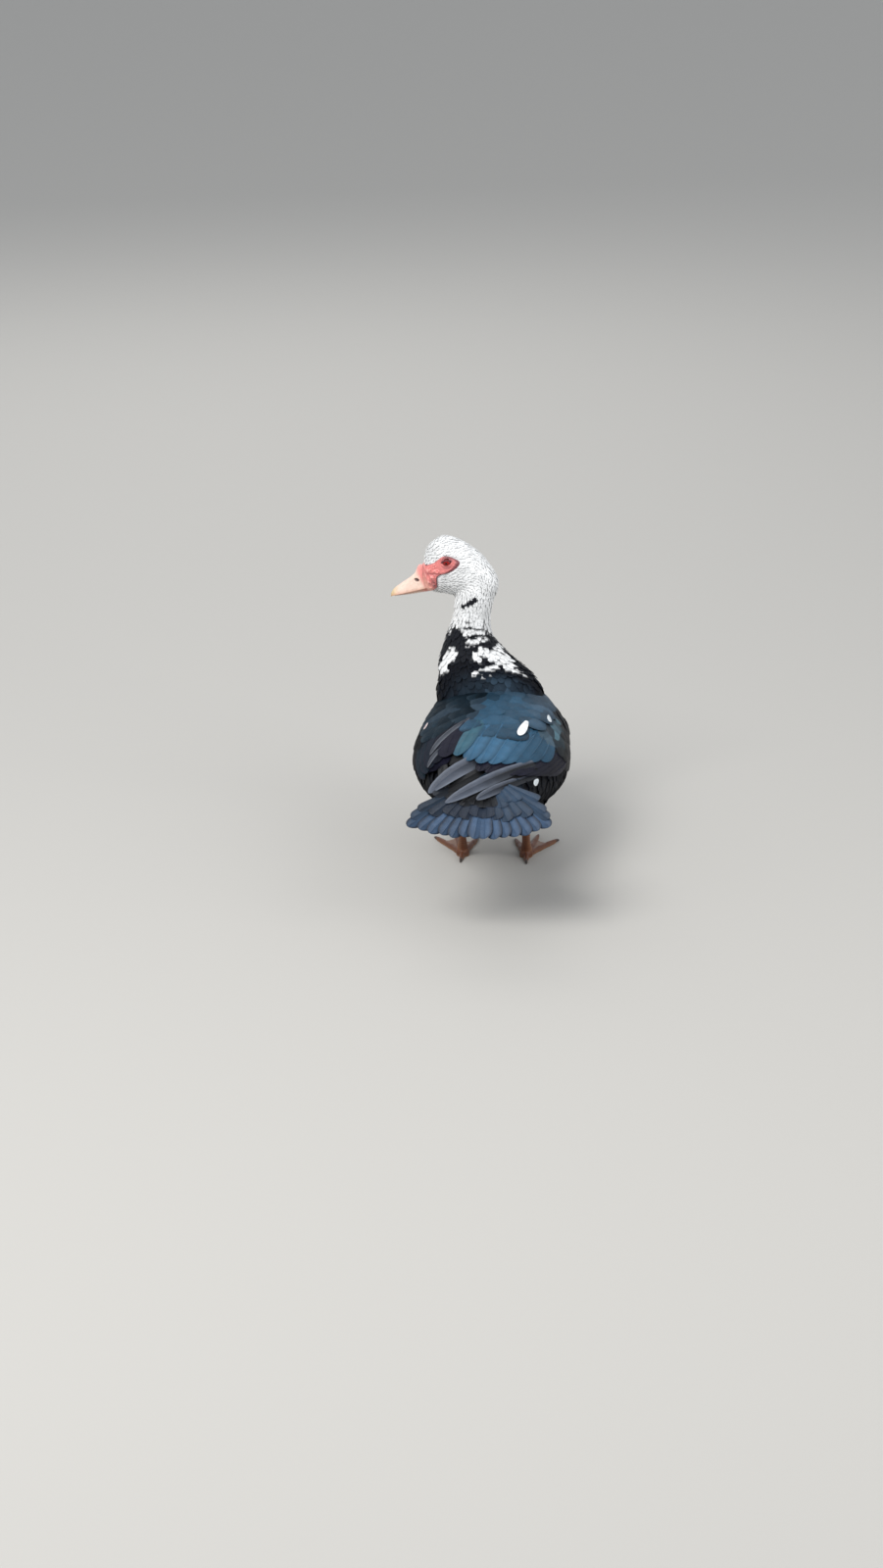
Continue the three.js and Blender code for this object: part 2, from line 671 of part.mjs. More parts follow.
// Primaries lie over the rump and the root of the tail, all rooted in one bed behind the wing
const rumpHeight = (x, y) => trunk.at(y)[0] - (x - trunkShift) ** 2 / 150;
const vector = (place) => new THREE.Vector3(...place);
function primaryBlade({ root, middle, tip }) {
  const shaft = new THREE.QuadraticBezierCurve3(vector(root), vector(middle), vector(tip));
  return blade(primaryWidth, 2, 0, (off, u, rise) => {
    const point = shaft.getPoint(u);
    const way = shaft.getTangent(u);
    const aside = new THREE.Vector3(way.y, -way.x, 0).setLength(off);
    const roll = rumpHeight(point.x + aside.x, point.y) - rumpHeight(point.x, point.y);
    return point.add(aside).add(new THREE.Vector3(0, 0, rise + roll + primarySlope * aside.y));
  });
}
function rootBed(side) {
  const { y, angle, thickness } = primaryBed;
  return plate(steps(2), steps(3), (u, v, top) => {
    const round = angle[0] + (angle[1] - angle[0]) * v;
    return trunkPoint(y[0] + (y[1] - y[0]) * u, round * turn * side, top ? thickness : -3);
  });
}

// Tail: the root of the trunk with a fan of quills, the middle one on top
function fanBlade(share, reach, width, height, tilt) {
  const angle = fanHalfAngle * share + fanYaw;
  return blade(width, 2, tilt, (off, u, rise) => {
    const r = fanStart + (reach - fanStart) * u;
    const x = r * Math.sin(angle) + off * Math.cos(angle);
    const out = r * Math.cos(angle) - off * Math.sin(angle);
    return new THREE.Vector3(
      fanPivot.x + x,
      fanPivot.y - out * Math.cos(fanDroop),
      fanPivot.z - out * Math.sin(fanDroop) + outerLift * x ** 2 + height(u) + rise,
    );
  }, fanWidth);
}
function tailFeathers() {
  const spread = (count) => Array.from({ length: count }, (_, i) => (2 * i) / (count - 1) - 1);
  const quills = spread(quillCount).map((share) => {
    const reach = fanReach + (fanOuterReach - fanReach) * share ** 2;
    const middle = Math.abs(share) < 0.01;
    return fanBlade(share, reach, quillWidth, () => (middle ? 1.2 : 0), quillTilt * Math.sign(share));
  });
  const { above, below, reach, width } = tailCoverts;
  const over = spread(above).map((share, i) =>
    fanBlade(share * 0.8, reach + (i % 2) * 5, width, (u) => 1.4 + 2.4 * u, 1.6 * Math.sign(share)),
  );
  const under = spread(below).map((share, i) =>
    fanBlade(share * 0.75, reach + (i % 2) * 6, width, (u) => -2.4 - 2.6 * u, 0),
  );
  return [...quills, ...over, ...under];
}
const tailRoot = beyond(beyond(flesh, neckFoot, down), tailPlane, behind);
const tailBlades = tailFeathers();
addNode("tail", union([tailRoot, ...tailBlades]), slateFeather);

// Legs: feathered thigh, scaled shank, webbed foot and claws
function ovalRing(centre, wide, deep, sides = 12, tilt = 0) {
  return Array.from({ length: sides }, (_, j) => {
    const a = (j / sides) * 2 * Math.PI;
    const y = deep * Math.cos(a);
    return new THREE.Vector3(centre.x + wide * Math.sin(a), centre.y + y, centre.z + y * tilt);
  });
}
function thigh() {
  const rows = [
    [92, -6, 30, 38],
    [76, -12, 26, 34],
    [62, -19, 17, 23],
    [54, -23, 11.5, 14],
    [hockTop, hockY, 9.5, 11],
  ];
  return loft(rows.map(([z, y, wide, deep]) => ovalRing(new THREE.Vector3(0, y, z), wide, deep, 16)));
}
const footTop = 9;
function shank() {
  const rows = [
    [hockTop - gap, hockY, 7, 8.6],
    [42, hockY + 1.5, 6, 7.4],
    [32, hockY + 5, 4.6, 5.8],
    [20, hockY + 11, 4.6, 5.6],
    [13, hockY + 15, 5.6, 6.2],
    [footTop, hockY + 17, 6.4, 6.6],
  ];
  return loft(rows.map(([z, y, wide, deep]) => ovalRing(new THREE.Vector3(0, y, z), wide, deep)));
}
const shankFootY = hockY + 17;
// A toe lies on the floor with a flat sole, from the foot's middle out along its angle
function toeRing(angle, reach, wide, high, lift = 0) {
  const out = new THREE.Vector3(Math.sin(angle), Math.cos(angle), 0);
  const across = new THREE.Vector3(out.y, -out.x, 0);
  const centre = out.clone().multiplyScalar(reach);
  return Array.from({ length: 7 }, (_, j) => {
    const a = (j / 6 - 0.5) * Math.PI;
    const p = centre.clone().addScaledVector(across, wide * Math.sin(a));
    p.z = lift + high * Math.cos(a);
    return p;
  });
}
function toe(angle, reach) {
  const rows = [
    [-4, 4.6, 7.5],
    [8, 4.4, 7],
    [reach * 0.35, 3.4, 5.2],
    [reach * 0.42, 3.8, 5.8],
    [reach * 0.68, 3, 4.8],
    [reach * 0.74, 3.4, 5.2],
    [reach, 2.5, 4.2],
  ];
  return loft(rows.map(([r, wide, high]) => toeRing(angle, r, wide, high)));
}
function web(angleA, reachA, angleB, reachB) {
  const at = (angle, reach) => new THREE.Vector2(Math.sin(angle) * reach, Math.cos(angle) * reach);
  const [a, b] = [at(angleA, reachA * 0.9), at(angleB, reachB * 0.9)];
  const hollow = at((angleA + angleB) / 2, Math.min(reachA, reachB) * 0.66);
  const shape = new THREE.Shape();
  shape.moveTo(0, -3);
  shape.lineTo(a.x, a.y);
  shape.quadraticCurveTo(hollow.x, hollow.y, b.x, b.y);
  shape.lineTo(0, -3);
  return solid(new THREE.ExtrudeGeometry(shape, { depth: webThickness, bevelEnabled: false, curveSegments: 4 }));
}
const hindAngle = 168 * turn;
function hindToe() {
  const rows = [
    [0, 4, 8],
    [8, 3.2, 6.5],
    [hindToeReach, 2.2, 4],
  ];
  return loft(rows.map(([r, wide, high]) => toeRing(hindAngle, r, wide, high)));
}
function claw(angle, reach) {
  const rows = [
    [reach + gap, 1.9, 3.4, 0.5],
    [reach + clawLength * 0.45, 1.5, 2.8, 0.6],
    [reach + clawLength * 0.8, 0.9, 1.7, 0.5],
    [reach + clawLength, 0.3, 0.6, 0.4],
  ];
  return loft(rows.map(([r, wide, high, lift]) => toeRing(angle, r, wide, high, lift)));
}
for (const side of [left, right]) {
  const name = sideName[side];
  const legGroup = new THREE.Group();
  legGroup.position.set(side * footSpread, 0, 0);
  legGroup.updateMatrix();
  duck.add(legGroup);
  const trunkHere = moved(fleshClear, legGroup.matrix.clone().invert());
  addNode(`thigh_${name}`, thigh().subtract(trunkHere), blackFeather, legGroup);
  const footGroup = new THREE.Group();
  footGroup.position.set(0, shankFootY, 0);
  footGroup.rotation.z = -side * footTurn;
  legGroup.add(footGroup);
  const knuckle = loft(
    [
      [0, 7.4, 7.4],
      [4, 7.6, 7.6],
      [footTop - gap, 6.6, 6.8],
    ].map(([z, wide, deep]) => ovalRing(new THREE.Vector3(0, 0, z), wide, deep)),
  );
  const toes = Object.keys(toeReach).map((key) => toe(side * toeAngle[key], toeReach[key]));
  const webs = [
    web(side * toeAngle.inner, toeReach.inner, side * toeAngle.middle, toeReach.middle),
    web(side * toeAngle.middle, toeReach.middle, side * toeAngle.outer, toeReach.outer),
  ];
  addNode(`shank_${name}`, shank(), legSkin, legGroup);
  addNode(`foot_${name}`, union([knuckle, ...toes, ...webs, hindToe()]), legSkin, footGroup);
  for (const key of Object.keys(toeReach))
    addNode(`claw_${key}_${name}`, claw(side * toeAngle[key], toeReach[key]), clawHorn, footGroup);
  addNode(`claw_hind_${name}`, claw(hindAngle, hindToeReach), clawHorn, footGroup);
}

const underClear = union([fleshClear, wingCore(left, gap), wingCore(right, gap)]);
for (const side of [left, right]) {
  const blades = primaries[side].map(primaryBlade);
  addNode(`primaries_${sideName[side]}`, union([rootBed(side), ...blades]).subtract(underClear), greyFeather);
}

// The whole stands centred over the origin
const box = new THREE.Box3().setFromObject(duck, true);
duck.position.set(-(box.min.x + box.max.x) / 2, -(box.min.y + box.max.y) / 2, -box.min.z);

export default duck;
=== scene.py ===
"""A muscovy hen at life size, as a museum shows one: black and white, looking over to her left."""

import math

import bmesh
import bpy
import numpy as np
from mathutils import Matrix, Vector
from mathutils.bvhtree import BVHTree
from mathutils.kdtree import KDTree


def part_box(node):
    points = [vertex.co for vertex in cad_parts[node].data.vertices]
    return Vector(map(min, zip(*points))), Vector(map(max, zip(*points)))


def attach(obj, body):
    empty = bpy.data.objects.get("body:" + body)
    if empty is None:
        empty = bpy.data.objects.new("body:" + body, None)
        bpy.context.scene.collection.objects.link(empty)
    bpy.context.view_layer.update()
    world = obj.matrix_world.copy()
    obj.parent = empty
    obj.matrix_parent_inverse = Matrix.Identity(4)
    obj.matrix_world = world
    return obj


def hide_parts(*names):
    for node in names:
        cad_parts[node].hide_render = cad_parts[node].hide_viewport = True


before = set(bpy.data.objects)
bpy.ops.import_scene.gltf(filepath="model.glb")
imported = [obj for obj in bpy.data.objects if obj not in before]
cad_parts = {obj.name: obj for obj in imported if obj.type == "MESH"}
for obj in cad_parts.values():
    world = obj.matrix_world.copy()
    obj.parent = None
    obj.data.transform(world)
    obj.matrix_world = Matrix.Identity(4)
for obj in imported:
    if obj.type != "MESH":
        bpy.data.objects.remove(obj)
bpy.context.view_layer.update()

# Where she stands. All sizes below are millimetres from a point on the floor between her feet, x to
# her right, y ahead and z up. The model is centred on its own box, and the left shank tells how far
# that moved it.
shank_low, shank_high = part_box("shank_left")
shank_middle = np.array([-36.0, -16.5])
stand = np.zeros(3)
stand[:2] = (np.array(shank_low[:2]) + np.array(shank_high[:2])) * 500 - shank_middle


def metres(points):
    return (np.asarray(points, float) + stand) / 1000


def unit(v):
    return v / np.maximum(np.linalg.norm(v, axis=-1, keepdims=True), 1e-9)


# The photographer looks down on her back from 4.4 m away. The aim is a point under her body, and the
# pixel where it shows.
photo_frame = (901, 1600)
focal_pixels = 3960
look_down = math.radians(20)
look_round = math.radians(3.5)
camera_distance = 4400
aim_point = np.array([0.0, -7.0, 0.0])
aim_pixel = np.array([504.5, 873.0])
film_height = 36.0

level = math.cos(look_down)
camera_back = np.array([math.sin(look_round) * level, -math.cos(look_round) * level, math.sin(look_down)])
camera_right = np.array([math.cos(look_round), math.sin(look_round), 0.0])
camera_up = np.cross(camera_back, camera_right)
off_centre = (aim_pixel - np.array(photo_frame) / 2) * camera_distance / focal_pixels
camera_place = aim_point + camera_back * camera_distance
camera_place = camera_place - camera_right * off_centre[0] + camera_up * off_centre[1]
camera_data = bpy.data.cameras.new("photographer")
camera_data.sensor_fit = "VERTICAL"
camera_data.sensor_height = film_height
camera_data.lens = film_height * focal_pixels / photo_frame[1]
camera_data.clip_end = 200
camera = bpy.data.objects.new("photographer", camera_data)
bpy.context.scene.collection.objects.link(camera)
turned = np.eye(4)
turned[:3, :3] = np.stack([camera_right, camera_up, camera_back], axis=1)
turned[:3, 3] = metres(camera_place)
camera.matrix_world = Matrix(turned.tolist())
bpy.context.scene.camera = camera


def paint(code):
    """An sRGB hex colour as linear light."""
    parts = [int(code[i : i + 2], 16) / 255 for i in (1, 3, 5)]
    return np.array([c / 12.92 if c <= 0.04045 else ((c + 0.055) / 1.055) ** 2.4 for c in parts])


def put(tree, kind, inputs=None, **settings):
    """Adds a shader node. An input is another node's socket, or a plain value."""
    made = tree.nodes.new("ShaderNode" + kind)
    for name, value in settings.items():
        setattr(made, name, value)
    for name, value in (inputs or {}).items():
        if isinstance(value, bpy.types.NodeSocket):
            tree.links.new(value, made.inputs[name])
        else:
            made.inputs[name].default_value = value
    return made


def start_material(name):
    material = bpy.data.materials.new(name)
    material.use_nodes = True
    material.node_tree.nodes.clear()
    return material, material.node_tree


def surface(tree, inputs):
    shader = put(tree, "BsdfPrincipled", inputs)
    put(tree, "OutputMaterial", {"Surface": shader.outputs["BSDF"]})


# Studio: a pale paper floor without an edge in view, a wide soft light over her left shoulder,
# weaker ones from the right and the front, and an even pale surround.
floor_colour = paint("#b7b4ae")
floor_half = 60.0
lights_aim = Vector((0, 0, 0.15))
surround_tint = (0.80, 0.84, 0.90, 1)
surround_strength = 0.72

material, tree = start_material("pale_paper_floor")
grain = put(tree, "TexNoise", {"Scale": 3.0, "Detail": 2.0})
tones = {0: grain.outputs["Fac"], 6: (*floor_colour, 1), 7: (*(floor_colour * 1.04), 1)}
tone = put(tree, "Mix", tones, data_type="RGBA")
surface(tree, {"Base Color": tone.outputs[2], "Roughness": 0.85})
floor_mesh = bpy.data.meshes.new("floor")
h = floor_half
floor_mesh.from_pydata([(-h, -h, 0), (h, -h, 0), (h, h, 0), (-h, h, 0)], [], [(0, 1, 2, 3)])
floor_mesh.materials.append(material)
floor = bpy.data.objects.new("floor", floor_mesh)
bpy.context.scene.collection.objects.link(floor)

for name, place, size, power in (  # metres and watts
    ("key_light", (-1.3, -1.6, 2.6), 1.6, 78),
    ("fill_light", (2.2, -1.2, 1.5), 1.8, 22),
    ("front_light", (-0.6, 2.4, 1.9), 1.8, 20),
):
    lamp = bpy.data.lights.new(name, "AREA")
    lamp.size = size
    lamp.energy = power
    lit = bpy.data.objects.new(name, lamp)
    lit.location = place
    lit.rotation_euler = (lights_aim - Vector(place)).to_track_quat("-Z", "Y").to_euler()
    bpy.context.scene.collection.objects.link(lit)
surround = bpy.data.worlds.new("pale_surround")
surround.use_nodes = True
sky = surround.node_tree.nodes["Background"]
sky.inputs["Color"].default_value = surround_tint
sky.inputs["Strength"].default_value = surround_strength
bpy.context.scene.world = surround
bpy.context.scene.view_settings.view_transform = "Standard"

# Skin: one closed body of trunk, neck, head and thighs under the plumage, where the feathers root.
# It lies as deep under the bird's outline as the coat is thick, and carries the coat's markings.
trunk_rows = [  # y, back, belly, half width
    (-178, 127, 127, 0),
    (-160, 137.5, 115, 28),
    (-130, 145, 99, 46),
    (-90, 152, 82, 62),
    (-45, 159, 64, 78),
    (5, 165, 53, 87),
    (55, 170, 53, 83),
    (100, 173, 63, 73),
    (138, 166, 85, 57),
    (166, 127, 127, 0),
]
widest_share = 0.48
fullness = 0.96
trunk_shift = -4.5
neck_rows = [  # z, x, y, half width, half depth
    (118, -4, 66, 50, 46),
    (160, -10, 92, 61.5, 40),
    (179, -15, 99, 54, 41),
    (193, -26, 108, 44.5, 39),
    (207, -31.5, 113, 35, 33),
    (218, -35.2, 117, 28.3, 28),
    (231, -35, 118.5, 24, 25),
    (249, -32.4, 118, 22, 22.5),
    (266, -30, 116, 23.7, 22),
    (280, -28.2, 115.5, 23.2, 21),
    (292, -28.5, 115, 20, 19),
]
head_rows = [  # y along the gaze, crown, jaw, half width
    (-48, -31, -31, 0),
    (-43.5, -16.5, -48.5, 12),
    (-33, 2.5, -54, 17.5),
    (-14, 20, -50, 20.5),
    (4, 28, -43, 20.5),
    (16, 23.5, -39, 19),
    (26, 15.5, -36.5, 16.5),
    (33, 1.2, -34.5, 13),
    (41, -17, -17, 0),
]
head_widest_share = 0.42
head_place = np.array([-57.0, 121.5, 311.9])
head_yaw = math.radians(79)
head_pitch = math.radians(-11.5)
thigh_rows = [  # z, y, half width, half depth
    (50, -24, 8.0, 9.5),
    (54, -23, 10, 12.5),
    (62, -19, 15.5, 21.5),
    (76, -12, 24.5, 32.5),
    (92, -6, 28, 36),
]
foot_spread = 36
coat_depth = {"trunk": 4.2, "neck": 2.6, "head": 1.5, "thigh": 2.0}
skin_grid = 1.7
skin_rounding = 9


def curve_through(rows, place):
    """A smooth curve through rows of (place, value, ...), read at many places."""
    rows = np.asarray(rows, float)
    keys, values = rows[:, 0], rows[:, 1:]
    before = np.maximum(np.arange(len(keys)) - 1, 0)
    after = np.minimum(np.arange(len(keys)) + 1, len(keys) - 1)
    slopes = (values[after] - values[before]) / (keys[after] - keys[before])[:, None]
    place = np.asarray(place, float)
    i = np.clip(np.searchsorted(keys, place, side="left") - 1, 0, len(keys) - 2)
    span = (keys[i + 1] - keys[i])[..., None]
    t = np.clip((place - keys[i])[..., None] / span, 0, 1)
    return (
        values[i] * (2 * t**3 - 3 * t**2 + 1)
        + values[i + 1] * (3 * t**2 - 2 * t**3)
        + span * (slopes[i] * (t**3 - 2 * t**2 + t) + slopes[i + 1] * (t**3 - t**2))
    )


def round_ended(rows, place):
    """The same for a body that closes at both ends."""
    start, end = rows[0][0], rows[-1][0]
    polar = lambda y: np.arccos(np.clip(1 - 2 * (np.asarray(y, float) - start) / (end - start), -1, 1))
    return curve_through([(float(polar(row[0])), *row[1:]) for row in rows], polar(place))


def trunk_section(y, angle):
    rows = round_ended(trunk_rows, y)
    back, belly, half = rows[..., 0], rows[..., 1], rows[..., 2]
    level = belly + widest_share * (back - belly)
    full = lambda v: np.sign(v) * np.abs(v) ** fullness
    s, c = np.sin(angle), np.cos(angle)
    z = level + np.where(c > 0, back - level, level - belly) * full(c)
    return np.stack([trunk_shift + half * full(s), y + 0 * s, z], axis=-1)


def trunk_normal(y, angle):
    fore, aft = np.minimum(y + 0.5, 165.99), np.maximum(y - 0.5, -177.99)
    along = trunk_section(fore, angle) - trunk_section(aft, angle)
    round_it = trunk_section(y, angle + 0.009) - trunk_section(y, angle - 0.009)
    return unit(np.cross(round_it, along))


def trunk_point(y, angle, rise):
    """On the trunk at y, at an angle from the top of the back towards her right."""
    y, angle, rise = np.broadcast_arrays(*(np.asarray(v, float) for v in (y, angle, rise)))
    return trunk_section(y, angle) + trunk_normal(y, angle) * rise[..., None]


def neck_point(z, angle, rise):
    rows = curve_through(neck_rows, z)
    x = rows[..., 0] + (rows[..., 2] + rise) * np.sin(angle)
    y = rows[..., 1] - (rows[..., 3] + rise) * np.cos(angle)
    return np.stack([x, y, z + 0 * x], axis=-1)


def head_point(y, angle, rise=0.0):
    """On the head in its own frame, at an angle from the crown towards her right."""
    rows = round_ended(head_rows, y)
    crown, jaw, half = rows[..., 0], rows[..., 1], rows[..., 2]
    level = jaw + head_widest_share * (crown - jaw)
    s, c = np.sin(angle), np.cos(angle)
    z = level + (np.where(c > 0, crown - level, level - jaw) + rise) * c
    return np.stack([(half + rise) * s, y + 0 * s, z], axis=-1)


c, s = math.cos(head_yaw), math.sin(head_yaw)
head_turn = np.array([[c, -s, 0], [s, c, 0], [0, 0, 1]])
c, s = math.cos(head_pitch), math.sin(head_pitch)
head_turn = head_turn @ np.array([[1, 0, 0], [0, c, -s], [0, s, c]])


def from_head(points):
    return np.asarray(points) @ head_turn.T + head_place


def to_head(points):
    return (np.asarray(points) - head_place) @ head_turn


def loft(rings, caps=True):
    """Points and faces of a skin over equal rings, (rings, points, 3)."""
    rings = np.asarray(rings, float)
    count, around = rings.shape[:2]
    i, j = np.meshgrid(np.arange(count - 1), np.arange(around), indexing="ij")
    k = (j + 1) % around
    quads = np.stack([i * around + j, i * around + k, (i + 1) * around + k, (i + 1) * around + j], -1)
    faces = [tuple(q) for q in quads.reshape(-1, 4)]
    if caps:
        faces.append(tuple(range(around))[::-1])
        faces.append(tuple(range((count - 1) * around, count * around)))
    return rings.reshape(-1, 3), faces


def make_mesh(name, parts):
    """One mesh in metres from lofted parts, faces out."""
    points, faces = [], []
    for part_points, part_faces in parts:
        start = sum(len(p) for p in points)
        points.append(np.asarray(part_points))
        faces += [tuple(start + v for v in face) for face in part_faces]
    mesh = bpy.data.meshes.new(name)
    mesh.from_pydata(metres(np.concatenate(points)).tolist(), [], faces)
    raw = bmesh.new()
    raw.from_mesh(mesh)
    bmesh.ops.remove_doubles(raw, verts=raw.verts, dist=1e-6)
    bmesh.ops.recalc_face_normals(raw, faces=raw.faces)
    raw.to_mesh(mesh)
    raw.free()
    mesh.polygons.foreach_set("use_smooth", np.ones(len(mesh.polygons), bool))
    return mesh


def add_piece(name, mesh, material_made, nodes):
    """Puts a piece on the bird, in place of the model's nodes that it stands for."""
    piece = bpy.data.objects.new(name, mesh)
    bpy.context.scene.collection.objects.link(piece)
    mesh.materials.append(material_made)
    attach(piece, "root")
    if nodes:
        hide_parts(*nodes)


def fused(name, parts, grid, rounding):
    """Closed parts grown into one smooth closed mesh on a fine grid, in metres."""
    mesh = make_mesh(name, parts)
    raw = bpy.data.objects.new(name, mesh)
    bpy.context.scene.collection.objects.link(raw)
    grown = raw.modifiers.new("grow_together", "REMESH")
    grown.mode = "VOXEL"
    grown.voxel_size = grid / 1000
    eased = raw.modifiers.new("ease", "SMOOTH")
    eased.factor = 0.5
    eased.iterations = rounding
    bpy.context.view_layer.update()
    whole = bpy.data.meshes.new_from_object(raw.evaluated_get(bpy.context.evaluated_depsgraph_get()))
    bpy.data.objects.remove(raw)
    whole.name = name
    whole.polygons.foreach_set("use_smooth", np.ones(len(whole.polygons), bool))
    return whole


around = np.linspace(0, 2 * math.pi, 64, endpoint=False)
trunk_y = -6 - 171.5 * np.cos(np.linspace(0.03, math.pi - 0.03, 70))
head_y = -4 - 44.8 * np.cos(np.linspace(0.05, math.pi - 0.05, 44))
skin_parts = [
    loft(trunk_point(trunk_y[:, None], around[None], -coat_depth["trunk"])),
    loft(neck_point(np.linspace(122, 291, 58)[:, None], around[None], -coat_depth["neck"])),
    loft(from_head(head_point(head_y[:, None], around[None], -coat_depth["head"]))),
]
for side in (-1, 1):
    z = np.linspace(50.5, 92, 24)[:, None]
    rows = curve_through(thigh_rows, z[:, 0])[:, None, :]
    x = side * foot_spread + (rows[..., 1] - coat_depth["thigh"]) * np.sin(around)
    y = rows[..., 0] + (rows[..., 2] - coat_depth["thigh"]) * np.cos(around)
    skin_parts.append(loft(np.stack([x, y, z + 0 * x], -1)))
skin_mesh = fused("skin", skin_parts, skin_grid, skin_rounding)


def mesh_points(mesh):
    """A mesh's vertices in the bird's own millimetres."""
    flat = np.empty(len(mesh.vertices) * 3, np.float32)
    mesh.vertices.foreach_get("co", flat)
    return flat.reshape(-1, 3).astype(float) * 1000 - stand


skin_points = mesh_points(skin_mesh)
flat = np.empty(skin_points.size, np.float32)
skin_mesh.vertex_normals.foreach_get("vector", flat)
skin_normals = flat.reshape(-1, 3).astype(float)
skin_tree = KDTree(len(skin_points))
for i, p in enumerate(skin_points):
    skin_tree.insert(p, i)
skin_tree.balance()
skin_surface = BVHTree.FromPolygons(
    [Vector(p) for p in skin_points], [tuple(face.vertices) for face in skin_mesh.polygons]
)

# Markings of a black and white hen: white head and upper neck, black body, and white patches and
# bars where the two meet. A mark runs between two pixels of the photograph, and lies on her skin
# there: both pixels, its half width in pixels, and how strongly it shows.
white_marks = [
    ((476, 647.5), (482, 645), 3.2, 0.95),
    ((487, 645.5), (498, 643), 3.6, 0.9),
    ((477, 656.5), (490, 653.5), 3.0, 0.85),
    ((495, 651.5), (502, 650), 2.6, 0.85),
    ((484.5, 670), (493, 664), 4.6, 0.9),
    ((498, 670.5), (505, 667), 5.0, 0.95),
    ((508.5, 661), (511, 668), 4.8, 1.0),
    ((512, 672), (517, 677), 9.4, 1.0),
    ((504, 674), (520, 682), 4.0, 1.0),
    ((512, 660), (522, 669), 5.8, 1.0),
    ((496, 683.2), (507, 682), 2.6, 0.9),
    ((487.5, 676), (489.5, 676), 2.2, 0.75),
    ((484.5, 688), (489, 685.5), 2.4, 0.75),
    ((491, 691), (496, 689.5), 1.9, 0.5),
    ((523, 686), (530, 687.5), 2.5, 0.85),
    ((533, 690.5), (538.5, 691.5), 2.4, 0.7),
    ((460.5, 667.5), (452.5, 682), 6.8, 1.0),
]
black_marks = [
    ((473, 618.5), (479, 616), 3.0, 0.85),
    ((479, 616), (484.5, 612.3), 3.2, 0.9),
    ((485, 625.5), (491, 623), 1.8, 0.3),
    ((462, 642), (465, 640), 2.0, 0.9),
    ((474, 637), (480.5, 636), 1.7, 0.65),
    ((469, 645.5), (480, 640.8), 1.8, 0.9),
    ((475, 651.5), (487, 649.2), 1.6, 0.9),
    ((487, 649.2), (501, 647), 1.5, 0.85),
    ((493, 659.5), (502, 657), 3.0, 0.85),
    ((505.5, 663), (508, 670), 1.5, 0.6),
    ((493, 637), (494.5, 640), 1.8, 0.4),
]
# Height where white ends round the neck, by the angle from her back towards her right
white_edge = [(-180, 222), (-130, 231), (-90, 231), (-45, 235), (0, 235), (45, 233), (90, 226)]
white_edge += [(140, 218), (180, 222)]
mottled_band = 6.0
neck_axis = np.array([-30.0, 112.0])
trunk_axis_z = 110


def ease(low, high, x):
    t = np.clip((x - low) / (high - low), 0, 1)
    return t * t * (3 - 2 * t)


def blend(first, second, share):
    return first + (second - first) * share


def seen_at(pixel_x, pixel_y):
    """Where the camera's line through a pixel meets her skin."""
    across = (pixel_x - photo_frame[0] / 2) / focal_pixels
    below = (pixel_y - photo_frame[1] / 2) / focal_pixels
    line = unit(-camera_back + camera_right * across - camera_up * below)
    hit = skin_surface.ray_cast(Vector(camera_place), Vector(line))[0]
    return np.array(hit if hit is not None else camera_place)


def ripple(points, size, seed):
    """Smooth irregular waves from -1 to 1, as large as size in mm."""
    phases = np.random.default_rng(seed)
    total = 0
    for share in (1.0, 0.55):
        for _ in range(3):
            way = unit(phases.normal(size=3)) * 2 * math.pi / (size * share)
            total = total + share * np.sin(points @ way + phases.uniform(0, 6.3))
    return total / 3.2


def mark_share(points, marks):
    """How much of a set of marks each point has, from 0 to 1."""
    total = np.zeros(points.shape[:-1])
    uneven = 0.11 * ripple(points, 16, 5)
    for start_pixel, end_pixel, reach, strength in marks:
        start, end = seen_at(*start_pixel), seen_at(*end_pixel)
        run = end - start
        t = np.clip((points - start) @ run / max(run @ run, 1e-6), 0, 1)
        offset = points - start - t[..., None] * run
        offset = offset - 0.4 * (offset @ camera_back)[..., None] * camera_back
        far = np.linalg.norm(offset, axis=-1) * focal_pixels / camera_distance / reach + uneven
        total = np.maximum(total, strength * (1 - ease(0.85, 1.15, far)))
    return total


def white_share(points):
    """How white the plumage is at points near her skin, from 0 to 1."""
    points = np.asarray(points, float)
    angle = np.degrees(np.arctan2(points[..., 0] - neck_axis[0], neck_axis[1] - points[..., 1]))
    edge = curve_through(white_edge, angle)[..., 0] + 3.5 * ripple(points, 26, 3)
    share = ease(-mottled_band, mottled_band, points[..., 2] - edge)
    share = np.maximum(share, mark_share(points, white_marks))
    return np.clip(share * (1 - mark_share(points, black_marks)), 0, 1)


white_coat = paint("#f1f1f0")
black_coat = paint("#0b0c10")
rosy_skin = paint("#e88c84")
skin_shade = np.ones((len(skin_points), 4))
skin_white = white_share(skin_points)[:, None]
skin_shade[:, :3] = skin_white * white_coat * 0.92 + (1 - skin_white) * black_coat * 0.8
skin_local = to_head(skin_points)
rosy = ease(28, 31, skin_local[:, 1]) * ease(1.5, 0.0, skin_local[:, 2]) * (skin_points[:, 2] > 265)
skin_shade[:, :3] = blend(skin_shade[:, :3], rosy_skin, rosy[:, None])
tone = skin_mesh.color_attributes.new("plumage", "FLOAT_COLOR", "POINT")
tone.data.foreach_set("color", skin_shade.ravel())

# Down lies close on the skin: matt, with a fine fleece about a millimetre across. It has the skin's
# markings, or where a wing has its bed a dark tone of its own.
fleece_mm = 1.2


